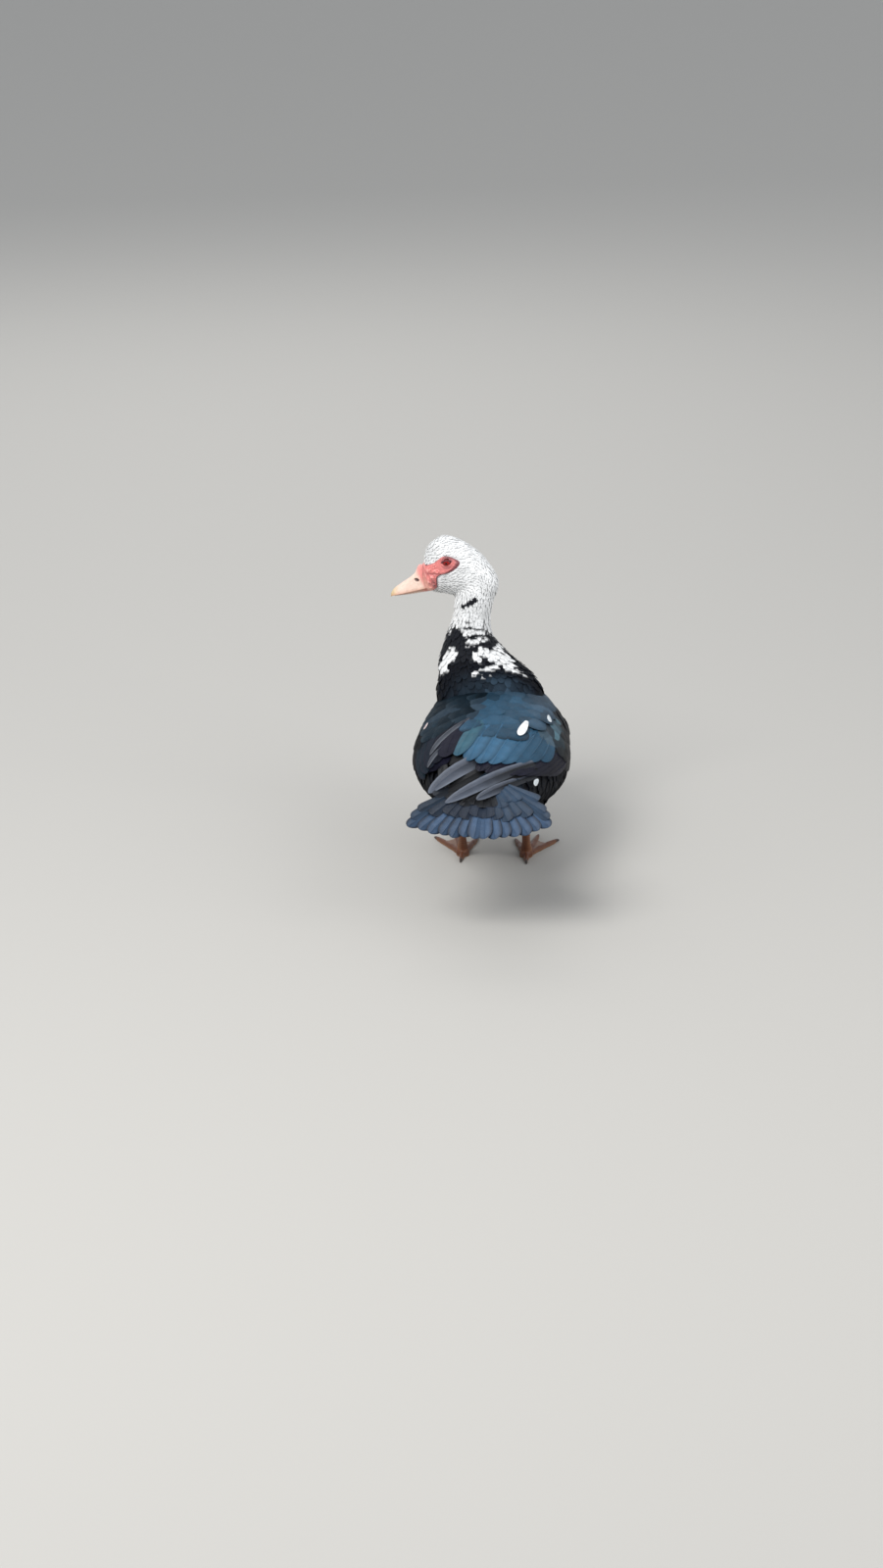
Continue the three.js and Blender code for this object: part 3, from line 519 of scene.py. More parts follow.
def down_material(name, dark_tone=None):
    material, tree = start_material(name)
    place = put(tree, "TexCoord")
    fleece = put(tree, "TexNoise", {"Vector": place.outputs["Object"], "Scale": 1000 / fleece_mm})
    if dark_tone is None:
        colour = put(tree, "Attribute", attribute_name="plumage").outputs["Color"]
    else:
        tones = {0: fleece.outputs["Fac"], 6: (*(dark_tone * 0.6), 1), 7: (*(dark_tone * 1.3), 1)}
        colour = put(tree, "Mix", tones, data_type="RGBA").outputs[2]
    bump = put(tree, "Bump", {"Height": fleece.outputs["Fac"], "Strength": 0.5, "Distance": 0.0006})
    surface(tree, {"Base Color": colour, "Roughness": 0.85, "Normal": bump.outputs["Normal"]})
    return material


add_piece(
    "skin",
    skin_mesh,
    down_material("down_on_skin"),
    ("torso", "neck_lower", "neck_upper", "head", "thigh_left", "thigh_right"),
)

# Feathers. Each is a closed vane, keeled along its shaft and drooping to its edges, set on the skin
# by its root and lying over the roots behind it. The vane is keratin: silky, with barbs that leave
# the shaft at a slant. Real barbs are 0.3 mm apart, drawn 0.9 mm apart here so that they show.
barb_spacing = 0.9
barb_slant = 1.1
small_section = [(-1, 0), (0, 1), (1, 0), (0, -0.6)]
body_section = [(-1, 0), (-0.55, 0.75), (0, 1.25), (0.55, 0.75), (1, 0), (0, -0.6)]
quill_section = [(-1, 0), (-0.5, 0.7), (-0.09, 0.8), (0, 1.9), (0.09, 0.8), (0.5, 0.7), (1, 0), (0, -0.8)]
small_outline = [(0, 0.4), (0.35, 0.9), (0.7, 0.95), (0.9, 0.6), (1, 0.16)]
body_outline = [(0, 0.45), (0.25, 0.8), (0.5, 1), (0.72, 0.97), (0.87, 0.76), (0.96, 0.46), (1, 0.14)]
round_outline = [(0, 0.45), (0.25, 0.78), (0.5, 0.97), (0.64, 1), (0.77, 0.93), (0.86, 0.79)]
round_outline += [(0.93, 0.58), (0.98, 0.32), (1, 0.14)]
quill_outline = [(0, 0.5), (0.15, 0.7), (0.3, 0.85), (0.45, 0.95), (0.6, 1), (0.72, 0.98), (0.82, 0.9)]
quill_outline += [(0.89, 0.76), (0.94, 0.58), (0.98, 0.34), (1, 0.1)]
cloud_scale = 90.0


def feather_material(name, roughness, gloss, sheen, barb_depth):
    """Plumage in its own colour, clouded a little, with fine slanting barbs in tone and bump."""
    material, tree = start_material(name)
    colour = put(tree, "Attribute", attribute_name="plumage")
    vane = put(tree, "UVMap", uv_map="Vane")
    split = put(tree, "SeparateXYZ", {"Vector": vane.outputs["UV"]})
    aside = put(tree, "Math", {0: split.outputs["Y"]}, operation="ABSOLUTE")
    slant = {0: aside.outputs[0], 1: -barb_slant, 2: split.outputs["X"]}
    slanted = put(tree, "Math", slant, operation="MULTIPLY_ADD")
    phase = put(tree, "Math", {0: slanted.outputs[0], 1: 2 * math.pi / barb_spacing}, operation="MULTIPLY")
    barbs = put(tree, "Math", {0: phase.outputs[0]}, operation="SINE")
    place = put(tree, "TexCoord")
    cloud = put(tree, "TexNoise", {"Vector": place.outputs["Object"], "Scale": cloud_scale, "Detail": 3.0})
    span = {"Value": cloud.outputs["Fac"], "From Min": 0.3, "From Max": 0.7, "To Min": 0.86, "To Max": 1.12}
    clouded = put(tree, "MapRange", span)
    tones = {0: barbs.outputs[0], 1: 0.05, 2: clouded.outputs["Result"]}
    tone = put(tree, "Math", tones, operation="MULTIPLY_ADD")
    toned = put(tree, "VectorMath", {0: colour.outputs["Color"], "Scale": tone.outputs[0]}, operation="SCALE")
    bump = put(tree, "Bump", {"Height": barbs.outputs[0], "Strength": barb_depth, "Distance": 0.0002})
    finish = {"Roughness": roughness, "Specular IOR Level": gloss}
    finish.update({"Sheen Weight": sheen, "Sheen Roughness": 0.4, "Normal": bump.outputs["Normal"]})
    surface(tree, {"Base Color": toned.outputs["Vector"], **finish})
    return material


def feather_piece(name, made, material_made, nodes):
    """One mesh of many feathers. made holds, for F feathers with N places from root to tip:
    centre, across and outward (F, N, 3), width and thickness (F), outline (N), section, bed radius,
    colour (F, N, ring, 3), along in mm (F, N) and the root's place on the unwrapped skin (F, 2)."""
    ring = np.array(made["section"], float)
    count, places = made["centre"].shape[:2]
    m = len(ring)
    half = made["width"][:, None] / 2 * made["outline"][None]
    aside = half[..., None] * ring[:, 0]
    rise = made["thickness"][:, None, None] * ring[:, 1] * np.minimum(1, made["outline"] * 1.5)[None, :, None]
    rise = rise - aside**2 / (2 * made["bed"])
    points = (
        made["centre"][:, :, None]
        + made["across"][:, :, None] * aside[..., None]
        + made["outward"][:, :, None] * rise[..., None]
    )
    i, j = np.meshgrid(np.arange(places - 1), np.arange(m), indexing="ij")
    k = (j + 1) % m
    quads = np.stack([i * m + j, (i + 1) * m + j, (i + 1) * m + k, i * m + k], -1).reshape(-1, 4)
    caps = [[0, 2 * c - 1, 2 * c, 2 * c + 1] for c in range(1, m // 2)]
    far = [[(places - 1) * m + v for v in cap[::-1]] for cap in caps]
    quads = np.concatenate([quads, caps, far]).astype(int)
    one = points[0].reshape(-1, 3) - points[0].reshape(-1, 3).mean(0)
    fans = [(quads[:, a], quads[:, b], quads[:, c]) for a, b, c in ((0, 1, 2), (0, 2, 3))]
    volume = sum(np.einsum("ij,ij->", one[a], np.cross(one[b], one[c])) for a, b, c in fans)
    if volume < 0:
        quads = quads[:, ::-1]
    all_quads = (quads[None] + (np.arange(count) * places * m)[:, None, None]).reshape(-1, 4)
    mesh = bpy.data.meshes.new(name)
    mesh.vertices.add(count * places * m)
    mesh.vertices.foreach_set("co", metres(points.reshape(-1, 3)).astype(np.float32).ravel())
    mesh.loops.add(all_quads.size)
    mesh.loops.foreach_set("vertex_index", all_quads.ravel().astype(np.int32))
    mesh.polygons.add(len(all_quads))
    mesh.polygons.foreach_set("loop_start", np.arange(0, all_quads.size, 4, dtype=np.int32))
    mesh.update(calc_edges=True)
    mesh.polygons.foreach_set("use_smooth", np.ones(len(all_quads), bool))
    mesh.set_sharp_from_angle(angle=math.radians(62))
    colour = np.ones((count * places * m, 4), np.float32)
    colour[:, :3] = np.broadcast_to(made["colour"], points.shape).reshape(-1, 3)
    tone = mesh.color_attributes.new("plumage", "FLOAT_COLOR", "POINT")
    tone.data.foreach_set("color", colour.ravel())
    share = made["along"] / np.maximum(made["along"][:, -1:], 1e-6)
    patch = np.stack(np.broadcast_arrays(share[..., None] - 0.5, ring[None, None, :, 0] / 2), -1)
    bake = made["root"][:, None, None] + patch * made.get("patch", np.array([0.003, 0.003]))
    vane = np.stack(np.broadcast_arrays(made["along"][..., None], aside), -1)
    for layer, values in (("OFBake", bake), ("Vane", vane)):
        uv = mesh.uv_layers.new(name=layer)
        uv.data.foreach_set("uv", values.reshape(-1, 2)[all_quads.ravel()].astype(np.float32).ravel())
    mesh.uv_layers["OFBake"].active = True
    add_piece(name, mesh, material_made, nodes)


# The small coat. Feathers are hair-fine on the head, lengthen down the neck and are rounded scales
# on the body. They lie from the bill back over the crown, down the neck, down the breast and back
# along the body.
face_outline = [(33.5, -5), (28, -1.5), (22, 0.4), (15, 1.8), (9.5, 5.0), (2, 7.9), (-5, 5.9), (-13.5, 0.2)]
face_outline += [(-13, -4.5), (-7, -9), (2, -12.2), (11, -13.4), (15.5, -17), (17.5, -25), (21, -30.5)]
face_outline = np.array(face_outline + [(33.5, -30.5)], float)  # y and z in the head's frame
bill_start = 30.0
head_from = 276
neck_from = 206
# Sizes by height up the neck and over the head: z, spacing, length, width, thickness
neck_coat = [
    (150, 7.2, 26, 14.5, 0.5),
    (180, 5.6, 19, 10.5, 0.45),
    (205, 4.2, 13.0, 6.8, 0.4),
    (240, 3.2, 9.5, 4.4, 0.35),
    (275, 2.6, 7.5, 3.1, 0.3),
]
body_coat = (7.2, 26, 14.5, 0.5)
head_coat = (2.1, 6.0, 2.3, 0.26)
coat_lift = [(150, 185, 230, 275), (4.4, 3.6, 2.9, 1.7)]  # z, how far the tips stand off the skin
root_lift = 0.25
mantle_front = 76
black_feather_sheen_edge = paint("#262c38")
mantle_slate = paint("#263440")


def inside(outline, places):
    """Which places (N, 2) lie inside a closed outline."""
    found = np.zeros(len(places), bool)
    for (ax, ay), (bx, by) in zip(outline, np.roll(outline, -1, axis=0)):
        crosses = (ay > places[:, 1]) != (by > places[:, 1])
        found ^= crosses & (places[:, 0] < (bx - ax) * (places[:, 1] - ay) / (by - ay + 1e-12) + ax)
    return found


def lie_of_coat(points, normals):
    local = to_head(points)
    z = points[:, 2:3]
    back_of_head = head_turn @ np.array([0.0, -1.0, 0.0])
    down = np.array([0.0, 0.0, -1.0])
    nape = ease(-12, -46, local[:, 1:2]) + ease(-25, -50, local[:, 2:3])
    on_head = blend(back_of_head, down, np.clip(nape, 0, 1))
    front = np.clip(normals[:, 1:2], 0, 1)
    aft = np.array([0.0, -1.0, 0.0])
    on_body = aft * (1 - front) + down * (front + 0.12)
    near_neck = ease(168, 200, z)
    way = blend(on_body, down + 0.15 * aft, near_neck)
    way = blend(way, on_head, ease(262, 285, z))
    thigh = ease(84, 66, z) * (points[:, 1:2] < 25) * (points[:, 1:2] > -62)
    way = blend(way, down + 0.3 * aft, thigh)
    way = way - normals * (way * normals).sum(1, keepdims=True)
    return unit(way)


def coat_sizes(points):
    """Spacing, length, width and thickness of the small feathers at points, shorter at the hock."""
    z = points[:, 2:3]
    sizes = curve_through(neck_coat, np.clip(z[:, 0], neck_coat[0][0], neck_coat[-1][0]))
    sizes = blend(sizes, np.array(body_coat), ease(178, 160, z))
    sizes = blend(sizes, np.array(head_coat), ease(262, 282, z))
    return sizes * (1 - 0.45 * ease(72, 56, z))


def scatter(wanted, spacing, seed):
    """Skin points spread so that none is nearer than the spacing at it."""
    draw = np.random.default_rng(seed)
    covered = ~wanted
    roots = []
    for i in draw.permutation(len(skin_points)):
        if not covered[i]:
            roots.append(i)
            for _, j, _ in skin_tree.find_range(skin_points[i], spacing[i]):
                covered[j] = True
    return np.array(roots)


def walk(roots, lengths, swerve, steps):
    """Follows the skin from each root along the lie of the coat: places and normals."""
    place, outward = skin_points[roots].copy(), skin_normals[roots].copy()
    way = lie_of_coat(place, outward)
    way = unit(way + np.cross(outward, way) * swerve[:, None])
    places, normals = [place], [outward]
    for _ in range(steps):
        ahead = place + way * (lengths / steps)[:, None]
        near = np.array([skin_tree.find(p)[1] for p in ahead])
        outward = skin_normals[near]
        ahead = ahead - outward * ((ahead - skin_points[near]) * outward).sum(1, keepdims=True)
        went = unit(ahead - place)
        side = np.cross(outward, lie_of_coat(ahead, outward))
        way = unit(0.6 * went + 0.4 * unit(lie_of_coat(ahead, outward) + side * swerve[:, None]))
        way = unit(way - outward * (way * outward).sum(1, keepdims=True))
        place = ahead
        places.append(place)
        normals.append(outward)
    return np.stack(places, 1), np.stack(normals, 1)


def along_path(paths, shares):
    """Paths (F, K, 3) read at the shares of their length."""
    last = paths.shape[1] - 1
    at = np.clip(np.asarray(shares) * last, 0, last - 1e-9)
    i = at.astype(int)
    t = (at - i)[None, :, None]
    return paths[:, i] * (1 - t) + paths[:, i + 1] * t


def unwrapped(points):
    """Roots on the unrolled skin: the trunk along the lower half, neck and head above it."""
    local = to_head(points)
    on_head = points[:, 2] > 272
    on_neck = (points[:, 2] > 178) & ~on_head
    turn_round = lambda x, y: np.arctan2(x, y) / (2 * math.pi) + 0.5
    pick = lambda head, neck, trunk: np.where(on_head, head, np.where(on_neck, neck, trunk))
    trunk_u = turn_round(points[:, 0] - trunk_shift, points[:, 2] - trunk_axis_z)
    neck_u = turn_round(points[:, 0] - neck_axis[0], neck_axis[1] - points[:, 1])
    head_u = turn_round(local[:, 0], local[:, 2] + 14)
    trunk_v = 0.02 + 0.48 * (points[:, 1] + 180) / 350
    neck_v = 0.53 + 0.20 * (points[:, 2] - 178) / 95
    head_v = 0.76 + 0.22 * (local[:, 1] + 50) / 95
    return np.stack([0.02 + 0.96 * pick(head_u, neck_u, trunk_u), pick(head_v, neck_v, trunk_v)], -1)


def coat_feathers(roots, section, outline, lift, bed, seed):
    """Measures of small feathers on the skin, for feather_piece."""
    draw = np.random.default_rng(seed)
    points = skin_points[roots]
    sizes = coat_sizes(points)
    count = len(roots)
    lengths = sizes[:, 1] * draw.uniform(0.88, 1.12, count)
    swerve = draw.normal(0, 0.09, count)
    places, normals = walk(roots, lengths, swerve, 5)
    shares = np.array([o[0] for o in outline])
    centre, outward = along_path(places, shares), unit(along_path(normals, shares))
    along_way = unit(np.gradient(centre, axis=1))
    across = unit(np.cross(outward, along_way))
    rise = root_lift + (lift[:, None] - root_lift) * shares[None] ** 0.85
    rise = rise + draw.normal(0, 0.12, count)[:, None]
    centre = centre + outward * rise[..., None]
    return {
        "centre": centre,
        "across": across,
        "outward": outward,
        "width": sizes[:, 2] * draw.uniform(0.92, 1.08, count),
        "thickness": sizes[:, 3],
        "outline": np.array([o[1] for o in outline]),
        "section": section,
        "bed": bed,
        "along": lengths[:, None] * shares[None],
        "root": unwrapped(points),
        "shares": shares,
        "draw": draw,
    }


def coat_colour(made):
    """White or black by the markings; black feathers have a faint blue-grey painted sheen at the edges."""
    draw, centre = made["draw"], made["centre"]
    count = len(centre)
    lag = draw.normal(0, 0.8, (count, 1, 3))
    share = white_share(centre + lag)
    stray = draw.uniform(-0.12, 0.12, (count, 1)) * (share > 0.03) * (share < 0.97)
    whiteness = ease(0.34, 0.6, share + stray)[..., None, None]
    faint = ease(0.2, 0.6, share)[..., None, None] * (whiteness < 1)
    ring = np.array(made["section"])
    u = made["shares"][None, :, None]
    edge = np.maximum(np.abs(ring[:, 0])[None, None] ** 3, ease(0.8, 1.0, u))
    fresh = draw.uniform(0.85, 1.15, (count, 1, 1, 1))
    # Painted sheen: the black feathers turn faint blue-grey towards their edges and tips
    dark = black_coat * fresh + (black_feather_sheen_edge - black_coat) * (0.3 * edge)[..., None]
    on_right = ease(-22, 6, centre[..., 0])
    behind = mantle_front + 4 * on_right - centre[..., 1]
    on_back = ease(0, 26, behind) * ease(128, 150, centre[..., 2])
    on_back = on_back * draw.uniform(0.3, 1.0, (count, 1))
    slate = mantle_slate * (1 + 1.3 * on_right)[..., None, None]
    dark = blend(dark, slate, on_back[..., None, None])
    dark = blend(dark, white_coat * 0.35, 0.5 * faint)
    light = white_coat * (1 - 0.04 * (1 - edge))[..., None] * (0.98 + 0.03 * (fresh - 1))
    return light * whiteness + dark * (1 - whiteness)


beside, ahead, height = (skin_points - np.array([trunk_shift, 0, 0])).T
bare_face = (height > 272) & inside(face_outline, skin_local[:, 1:])
bill_base = (height > 265) & (skin_local[:, 1] > bill_start)
under_tail_or_hock = (ahead < -156) | (height < 52)
trunk_angle = np.degrees(np.arctan2(np.abs(beside), height - trunk_axis_z))
under_wing = (ahead < 84) & (ahead > -92) & (trunk_angle < 76) & (height < 172)
regions = {  # where, section, outline, bed radius
    "coat_head": (height > head_from, small_section, small_outline, 20.0),
    "coat_neck": ((height > neck_from) & (height <= head_from), small_section, small_outline, 24.0),
    "coat_left": ((height <= neck_from) & (beside < 0), body_section, body_outline, 70.0),
    "coat_right": ((height <= neck_from) & (beside >= 0), body_section, body_outline, 70.0),
}
soft_white = feather_material("soft_white_plumage", 0.75, 0.2, 0.1, 0.2)
silky_black = feather_material("silky_plumage", 0.55, 0.06, 0.0, 0.3)
feathered = ~(bare_face | bill_base | under_tail_or_hock | under_wing)
roots = scatter(feathered, coat_sizes(skin_points)[:, 0], 11)
for number, (name, (where, section, outline, bed)) in enumerate(regions.items()):
    chosen = roots[where[roots]]
    points = skin_points[chosen]
    lift = np.interp(points[:, 2], *coat_lift)
    made = coat_feathers(chosen, section, outline, lift, bed, 20 + number)
    made["colour"] = coat_colour(made)
    slot = {"coat_head": "white_feather", "coat_neck": "pied_feather"}.get(name, "black_feather")
    feather_piece(name, made, silky_black if slot == "black_feather" else soft_white, ())

# Folded wings: a bed of dark down and muscle over the ribs, small coverts in rows on it, then long
# secondaries and tertials, the innermost on top. The right wing's tertials cross the rump. Single
# feathers among the coverts are white, and two long ones on the left have pale edges.
wing_y = [104, 92, 50, 0, -50, -76, -89, -104]
wing_upper = {  # degrees down from the back
    -1: [48, 30, 10, 6, 9, 14, 18, 22],
    1: [48, 30, 10, 3, -3, -7, -9, -10],
}
wing_lower = [72, 94, 100, 90, 72, 62, 47, 44]
wing_thickness = [1.6, 3, 3.2, 3.2, 3.2, 3.2, 3.2, 2.8]
side_name = {-1: "left", 1: "right"}
fluff = {"high": 4.5, "y": 72, "along": 24, "degrees": 76, "across": 12}
covert_thickness = 0.55
quill_thickness = 0.8


def flank_swell(side, y, degrees):
    """How far the right flank's plumage is fluffed out beyond the rest, by place."""
    if side < 0:
        return 0 * y
    along, across = (y - fluff["y"]) / fluff["along"], (degrees - fluff["degrees"]) / fluff["across"]
    return fluff["high"] * np.exp(-(along**2) - across**2)


def wing_bed(side):
    u, v = np.meshgrid(np.linspace(0, 1, 40), np.linspace(0, 1, 26), indexing="ij")
    y = 104 - 208 * u
    stations = [-station for station in wing_y]
    rows = curve_through(list(zip(stations, wing_upper[side], wing_lower, wing_thickness)), -y)
    angle = np.radians(blend(rows[..., 0], rows[..., 1], v)) * side
    crown = 1 - (2 * v - 1) ** 4
    swell = flank_swell(side, y, np.degrees(angle) * side)
    top = trunk_point(y, angle, 0.8 + (rows[..., 2] - 1.2) * crown + swell * crown)
    bottom = trunk_point(y, angle, -3.0)
    return loft(np.concatenate([top, bottom[:, ::-1]], axis=1))


def length_along(centre):
    steps = np.linalg.norm(np.diff(centre, axis=1), axis=-1)
    return np.concatenate([np.zeros((len(centre), 1)), np.cumsum(steps, axis=1)], axis=1)


def draped(side, root, tip, lift, width, thickness, outline=quill_outline, bend=0.0, tilt=0.0, droop=0.0):
    """Feathers laid over the trunk from roots to tips, each a y and an angle in degrees (F, 2)."""
    shares = np.array([o[0] for o in outline])[None]
    root, tip, lift = (np.asarray(v, float) for v in (root, tip, lift))
    each = lambda v: np.broadcast_to(np.asarray(v, float), (len(root),))
    bend, tilt, droop = (each(v)[:, None] for v in (bend, tilt, droop))
    y = blend(root[:, :1], tip[:, :1], shares)
    angle = blend(root[:, 1:], tip[:, 1:], shares) + bend * 4 * shares * (1 - shares)
    rise = blend(lift[:, :1], lift[:, 1:], shares) - droop * ease(0.7, 1.0, shares)
    rise = rise + flank_swell(side, y, angle)
    angle = np.radians(angle) * side
    centre = trunk_point(y, angle, rise)
    outward = trunk_normal(y, angle)
    along_way = unit(np.gradient(centre, axis=1))
    across = unit(np.cross(outward, along_way)) * side
    outward_here = unit(np.cross(along_way, across)) * side
    across = unit(across + outward_here * tilt[..., None])
    return {
        "centre": centre,
        "across": across,
        "outward": unit(np.cross(along_way, across)) * side,
        "width": each(width),
        "thickness": each(thickness),
        "outline": np.array([o[1] for o in outline]),
        "shares": shares[0],
        "along": length_along(centre),
        "bed": 75.0,
        "root": unwrapped(centre[:, 0]),
    }


def tone_feathers(made, base, edge, section, draw, spread, edge_share, tip_share):
    """Colours of large feathers: a base each, turning to another colour at the edge and tip."""
    ring = np.array(section)
    count = len(made["centre"])
    base = np.broadcast_to(base, (count, 3))[:, None, None]
    edge = np.broadcast_to(edge, (count, 3))[:, None, None]
    u = made["shares"][None, :, None]
    share = np.maximum(np.abs(ring[:, 0])[None, None] ** 4 * edge_share, ease(0.82, 1.0, u) * tip_share)
    fresh = draw.normal(1, spread, (count, 1, 1, 1))
    made["colour"] = blend(base, edge, share[..., None]) * fresh
    made["section"] = section
    return made


def joined(groups):
    """Groups of measures with the same outline and section as one."""
    made = dict(groups[0])
    for key in ("centre", "across", "outward", "along", "root", "width", "thickness", "colour"):
        made[key] = np.concatenate([g[key] for g in groups])
    return made


def one_sided(made, section, colour, strength, start):
    """A margin of another colour along the outer side of each feather."""
    on_side = ease(0.35, 0.9, np.array(section)[:, 0])[None, None]
    share = (on_side * ease(start, start + 0.2, made["shares"])[None, :, None] * strength)[..., None]
    made["colour"] = blend(made["colour"], colour, share)
    return made


fleck_white = {-1: paint("#c9b6b4"), 1: paint("#d6dde0")}
white_flecks = {  # root y and angle, tip y and angle, width of the small white feathers among the coverts
    -1: [(22, 53, 8, 55, 5.5)],
    1: [(33, 44, 15, 44.5, 6.0), (-108, 73, -122, 75.5, 6.5)],
}
slate_coverts = paint("#4a5f6e")
sea_coverts = paint("#527480")
teal_deep = paint("#18252e")
teal_bright = paint("#294a60")
band_highlight_blue = paint("#406c8b")
band_green = paint("#3a5f68")
ink = paint("#08090c")
plum_black = paint("#181827")
silver_edge = paint("#5a6169")
flank_edge = paint("#23262d")
covert_rows = [  # root y, tip y, first and last angle, count, width
    (100, 80, 50, 74, 4, 12.5),
    (92, 68, 46, 84, 5, 13),
    (83, 57, 48, 90, 6, 13.5),
    (74, 46, 46, 95, 6, 14),
    (64, 34, 48, 97, 6, 14.5),
    (54, 22, 46, 97, 7, 15),
    (42, 8, 48, 92, 6, 16),
    (28, -10, 44, 86, 6, 17),
    (12, -30, 42, 80, 6, 18),
]
covert_deep = {-1: 0.7, 1: 1.1}
covert_edge = {-1: 0.7, 1: 1.0}
covert_spread = {-1: 0.24, 1: 0.12}
flank_starts = {-1: (53, 66), 1: (54, 65)}  # degrees where the wing's colour turns to black
secondary_count = 11
secondary_spread = {-1: 34, 1: 44}  # degrees over which their roots lie
secondary_tips = {  # angles, and y along the rear edge of the folded wing
    -1: [(76, 71, 66, 60, 53, 46), (-72, -82, -90, -97, -100, -101)],
    1: [(79, 72, 64, 54, 43, 31, 18, 5, -8), (-70, -85, -102, -116, -127, -134, -137, -138, -135)],
}
tertials = {  # root y and angle, tip y and angle, width
    -1: [
        (8, 52, -78, 84, 22),
        (4, 42, -84, 74, 24),
        (2, 32, -88, 64, 26),
        (0, 22, -91, 54, 27),
        (0, 12, -92, 42, 29),
    ],
    1: [
        (-14, 50, -74, 54, 22),
        (-16, 43, -92, 43, 23),
        (-16, 36, -107, 32, 24),
        (-14, 28, -117, 20, 25),
        (-12, 19, -122, 7, 26),
        (-8, 10, -122, -6, 26),
        (-4, 2, -115, -19, 25),
        (0, -6, -99, -30, 24),
    ],
}
pale_edged = [  # the left wing's two narrow inner feathers with pale edges, laid on the others
    (-10, 14, -68, 57, 9.5),
    (-56, 32, -84, 69, 9.0),
]
plum_grey = paint("#24242e")
pale_grey = paint("#4c4f56")
pale_edge = paint("#6c7076")
wing_plumage = {
    -1: feather_material("satin_wing_plumage", 0.5, 0.03, 0.0, 0.4),
    1: feather_material("glossy_wing_plumage", 0.45, 0.14, 0.0, 0.4),
}
for side in (-1, 1):
    name = side_name[side]
    draw = np.random.default_rng(40 + side)
    groups = []
    for root_y, tip_y, first, last, count, width in covert_rows:
        angle = np.linspace(first, last, count) + draw.uniform(-2.5, 2.5, count)
        root = np.stack([np.full(count, float(root_y)), angle], -1) + draw.normal(0, 1.6, (count, 2))
        tip = np.stack([np.full(count, float(tip_y)), angle + 1], -1) + draw.normal(0, 2.6, (count, 2))
        flat = ease(66, 88, angle)
        lift = np.stack([1.4 - 0.4 * flat, 4.0 - 2.9 * flat], -1)
        width = width * draw.uniform(0.92, 1.1, count)
        made = draped(side, root, tip, lift, width, covert_thickness, round_outline, droop=0.8)
        dull = np.maximum(ease(*flank_starts[side], angle)[:, None], ease(66, 90, root_y))
        bright = blend(slate_coverts, sea_coverts, draw.uniform(0, 1, (count, 1)))
        light = draw.uniform(0, 1, (count, 1))
        light = ease(0.1, 0.6, light) if side > 0 else 0.8 * ease(0.6, 0.75, light)
        base = blend(blend(teal_deep * covert_deep[side], bright, light), ink, dull)
        edge = blend(silver_edge * covert_edge[side], flank_edge, dull)
        groups.append(tone_feathers(made, base, edge, body_section, draw, covert_spread[side], 0.3, 0.2))
    for *place, width in white_flecks[side]:
        made = draped(side, [place[:2]], [place[2:]], [(4.8, 5.6)], width, 0.5, round_outline)
        groups.append(tone_feathers(made, fleck_white[side], white_coat, body_section, draw, 0.02, 0.3, 0.3))
    feather_piece(f"wing_coverts_{name}", joined(groups), wing_plumage[side], ())
    tip_angles, tip_ys = np.array(secondary_tips[side], float)
    at = np.linspace(0, len(tip_ys) - 1, secondary_count)
    tip = np.stack([np.interp(at, np.arange(len(tip_ys)), v) for v in (tip_ys, tip_angles)], -1)
    t = np.linspace(0, 1, secondary_count)
    root = np.stack([6 - 16 * t, 80 - secondary_spread[side] * t], -1)
    lift = np.stack([1.2 + 0.8 * t, 1.4 + 3.0 * t], -1)
    width = 11 + 13 * np.sqrt(t)
    made = draped(side, root, tip, lift, width, quill_thickness, bend=2.0 * t, tilt=0.05, droop=0.6)
    groups = [tone_feathers(made, plum_black, ink, quill_section, draw, 0.15, 0.4, 0.1)]
    rows = np.array(tertials[side], float)
    t = np.linspace(0, 1, len(rows))
    lift = np.stack([2.2 + 1.2 * t, 4.2 + 3.4 * t], -1)
    width = rows[:, 4] * draw.uniform(0.97, 1.03, len(rows))
    root, tip, bend = rows[:, :2], rows[:, 2:4], 3.5 * t * (side > 0)
    made = draped(side, root, tip, lift, width, quill_thickness, bend=bend, tilt=0.05, droop=0.8)
    if side > 0:
        # Painted highlight: paler blue sheen on the right tertials, brightest about three quarters along the
        # row
        middle = np.exp(-(((t - 0.72) / 0.3) ** 2))[:, None]
        base = blend(teal_bright, band_highlight_blue, middle)
        base = blend(base, band_green, ease(0.85, 1.0, t)[:, None] * 0.7)
        groups.append(tone_feathers(made, base, teal_bright * 0.8, quill_section, draw, 0.09, 0.6, 0.5))
    else:
        base = blend(plum_grey, teal_deep, (1 - t)[:, None])
        made = tone_feathers(made, base, ink, quill_section, draw, 0.12, 0.5, 0.1)
        groups.append(one_sided(made, quill_section, plum_grey * 1.3, 0.6, 0.25))
        rows = np.array(pale_edged, float)
        lift = np.tile([4.6, 8.2], (len(rows), 1))
        root, tip, width = rows[:, :2], rows[:, 2:4], rows[:, 4]
        made = draped(side, root, tip, lift, width, quill_thickness, bend=-3.0, tilt=0.05, droop=0.8)
        groups.append(tone_feathers(made, pale_grey, pale_edge, quill_section, draw, 0.04, 0.8, 0.3))
    made = joined(groups)
    feather_piece(f"wing_quills_{name}", made, wing_plumage[side], (f"wing_{name}",))

dark_down = down_material("dark_down", ink)
for side in (-1, 1):
    bed = make_mesh("wing_bed", [wing_bed(side)])
    add_piece(f"wing_bed_{side_name[side]}", bed, dark_down, ())

